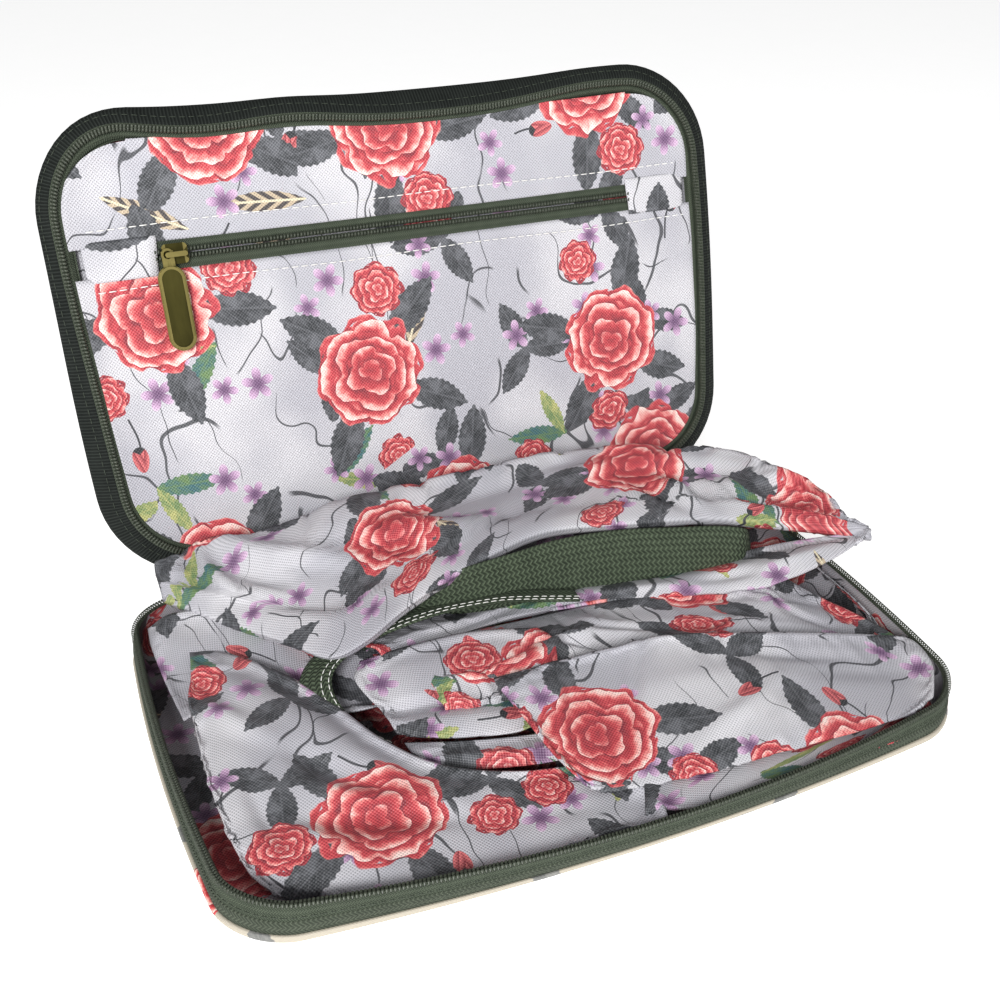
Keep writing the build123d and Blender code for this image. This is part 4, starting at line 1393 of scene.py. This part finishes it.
# the slack cloth at the left, between the mouth and the front panel
left_back = [(-134, 70, 17), (-124, 66, 24), (-104, 58, 26), (-80, 44, 25), (-54, 30, 24)]
left_top = [(-135, 56, 17), (-126, 50, 23), (-108, 40, 22), (-84, 24, 20), (-58, 16, 20)]
left_low = [(-134, 36, 14), (-124, 32, 18), (-106, 24, 17), (-84, 8, 16), (-60, 2, 17)]
left_deep = [(-132, 14, 12), (-120, 14, 15), (-102, 8, 15), (-82, -6, 14), (-60, -10, 15)]
left_cloth = draped([left_back, left_top, left_low, left_deep], across=80, steps=14)
left_cloth = simulated(left_cloth, ease=0.05, held_rows=2, held_columns=2, cap=3.0)
cloth_piece("bag_left_slack", left_cloth, place=(700, 120), turn=40, body="base", replaced=["bag_lower_body"])


# ---- handles --------------------------------------------------------------------------------
def webbing_strip(name, edge_a, edge_b, body, replaced, thickness=1.7, rows=14, columns=120):
    """Flat webbing between two edge lines, with thick rounded selvedges."""
    a = even(edge_a, columns)
    b = even(edge_b, columns)
    share = np.linspace(0, 1, rows)[:, None, None]
    grid = a + (b - a) * share
    normal = normals_of(grid)
    across = np.linspace(-1, 1, rows)[:, None]
    bead = 0.12 * np.cos(across * 9.0) - 0.45 * np.abs(across) ** 10
    top = grid + normal * bead[:, :, None]
    under = grid - normal * thickness - normal * bead[:, :, None]
    u = arc_lengths(grid, 1)
    v = arc_lengths(grid, 0)
    uv = np.stack([u, v], axis=2)
    strip = closed_sheet(name, top, under, uv, WEBBING, None)
    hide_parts(*replaced)
    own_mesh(strip)
    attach(strip, body)
    return top, normal


front_top = [
    (-62, 18, 22), (-46, 25, 30), (-35, 28, 36.5), (-18, 27, 40.5), (4, 27, 42.5), (25, 28, 43.5),
    (50, 26, 43), (74, 20, 42), (90, 15, 41.5), (101, 13, 39), (107, 18, 34),
]
front_low = [
    (-60, 22, 14), (-50, 30, 20), (-40, 30, 25), (-22, 23, 23), (2, 19.5, 22.5), (24, 18, 23.5),
    (46, 15, 24.5), (68, 10, 26), (84, 7, 26.5), (97, 7, 25.5), (106, 12, 24),
]
webbing_strip("front_handle_webbing", front_top, front_low, "handle", ["front_handle"])
second_front = [
    (-66, -26, 11), (-75, -16, 14), (-80, -5, 20), (-78, 5, 23.5), (-69, 12, 25.5), (-56, 16, 27),
    (-32, 19, 28.5), (-9, 15.5, 30), (4, 10.5, 30.5), (22, 4, 30),
]
second_back = [
    (-76, -30, 10), (-86, -17, 12), (-91, -4, 16), (-90, 9, 20), (-80, 20, 23), (-60, 27, 25),
    (-34, 30, 26.5), (-6, 26, 28), (8, 21, 28.5), (24, 14, 28.5),
]
top, normal = webbing_strip(
    "second_handle_webbing", second_back, second_front, "base", ["second_handle"], 1.4,
)
for row, word in ((-2, "outer"), (-5, "inner")):
    path = top[row]
    sewn = stitches(path, UPWARD, long=2.4, gap=0.8, width=0.42, height=0.15)
    line = joined(f"second_handle_stitches_{word}", sewn, THREAD, None)
    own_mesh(line)
    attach(line, "base")

# ---- floor, light and camera ----------------------------------------------------------
def pale_floor():
    """Plain white sweep under the case."""
    s = Shade("studio_floor")
    place = s.out(s.node("TexCoord"), "Object")
    grain = s.noise(place, 30.0, 2.0)
    colour = s.mix(grain, (0.90, 0.90, 0.90), (0.92, 0.92, 0.92))
    glow = {"Emission_Color": (1.0, 1.0, 1.0), "Emission_Strength": 0.45}
    return s.finish(colour, 0.9, Specular_IOR_Level=0.05, **glow)


floor_mesh = bpy.data.meshes.new("studio_floor")
reach = 6.0
floor_corners = [(-reach, -reach, 0), (reach, -reach, 0), (reach, reach, 0), (-reach, reach, 0)]
floor_mesh.from_pydata(floor_corners, [], [(0, 1, 2, 3)])
floor_mesh.materials.append(pale_floor())
floor = bpy.data.objects.new("studio_floor", floor_mesh)
floor.location.z = -0.0002
bpy.context.scene.collection.objects.link(floor)

world = bpy.context.scene.world or bpy.data.worlds.new("studio")
bpy.context.scene.world = world
world.use_nodes = True
world.node_tree.nodes["Background"].inputs["Color"].default_value = (1.0, 1.0, 1.0, 1.0)
world.node_tree.nodes["Background"].inputs["Strength"].default_value = 0.36


def softbox(name, place, aim, size, power):
    light = bpy.data.lights.new(name, "AREA")
    light.shape = "DISK"
    light.size = size
    light.energy = power
    lamp = bpy.data.objects.new(name, light)
    lamp.location = place
    lamp.rotation_euler = (Vector(aim) - Vector(place)).to_track_quat("-Z", "Y").to_euler()
    bpy.context.scene.collection.objects.link(lamp)


CASE_MIDDLE = (0.0, 0.0, 0.05)
softbox("key_light", (-0.80, -1.25, 0.80), CASE_MIDDLE, size=0.55, power=23.0)
softbox("fill_light", (1.0, -0.9, 0.6), CASE_MIDDLE, size=1.0, power=3.0)

CAMERA_PLACE = (-0.1648, -0.3624, 0.3046)
azimuth = math.radians(-24.45)
elevation = math.radians(34.6)
roll = math.radians(0.66)
back = Vector((
    math.sin(azimuth) * math.cos(elevation), -math.cos(azimuth) * math.cos(elevation), math.sin(elevation),
))
right = (-back).cross(Vector((0, 0, 1))).normalized()
above = right.cross(-back)
turned_right = right * math.cos(roll) + above * math.sin(roll)
turned_above = above * math.cos(roll) - right * math.sin(roll)
bpy.context.scene.view_settings.view_transform = "Standard"
bpy.context.scene.view_settings.exposure = 0.18
bpy.context.scene.view_settings.gamma = 0.80
camera_data = bpy.data.cameras.new("camera")
camera_data.lens = 45.72
camera_data.shift_x = -0.0327
camera_data.shift_y = 0.1176
camera_data.clip_start = 0.01
camera = bpy.data.objects.new("camera", camera_data)
facing = Matrix((turned_right, turned_above, back)).transposed()
camera.matrix_world = Matrix.Translation(CAMERA_PLACE) @ facing.to_4x4()
bpy.context.scene.collection.objects.link(camera)
bpy.context.scene.camera = camera
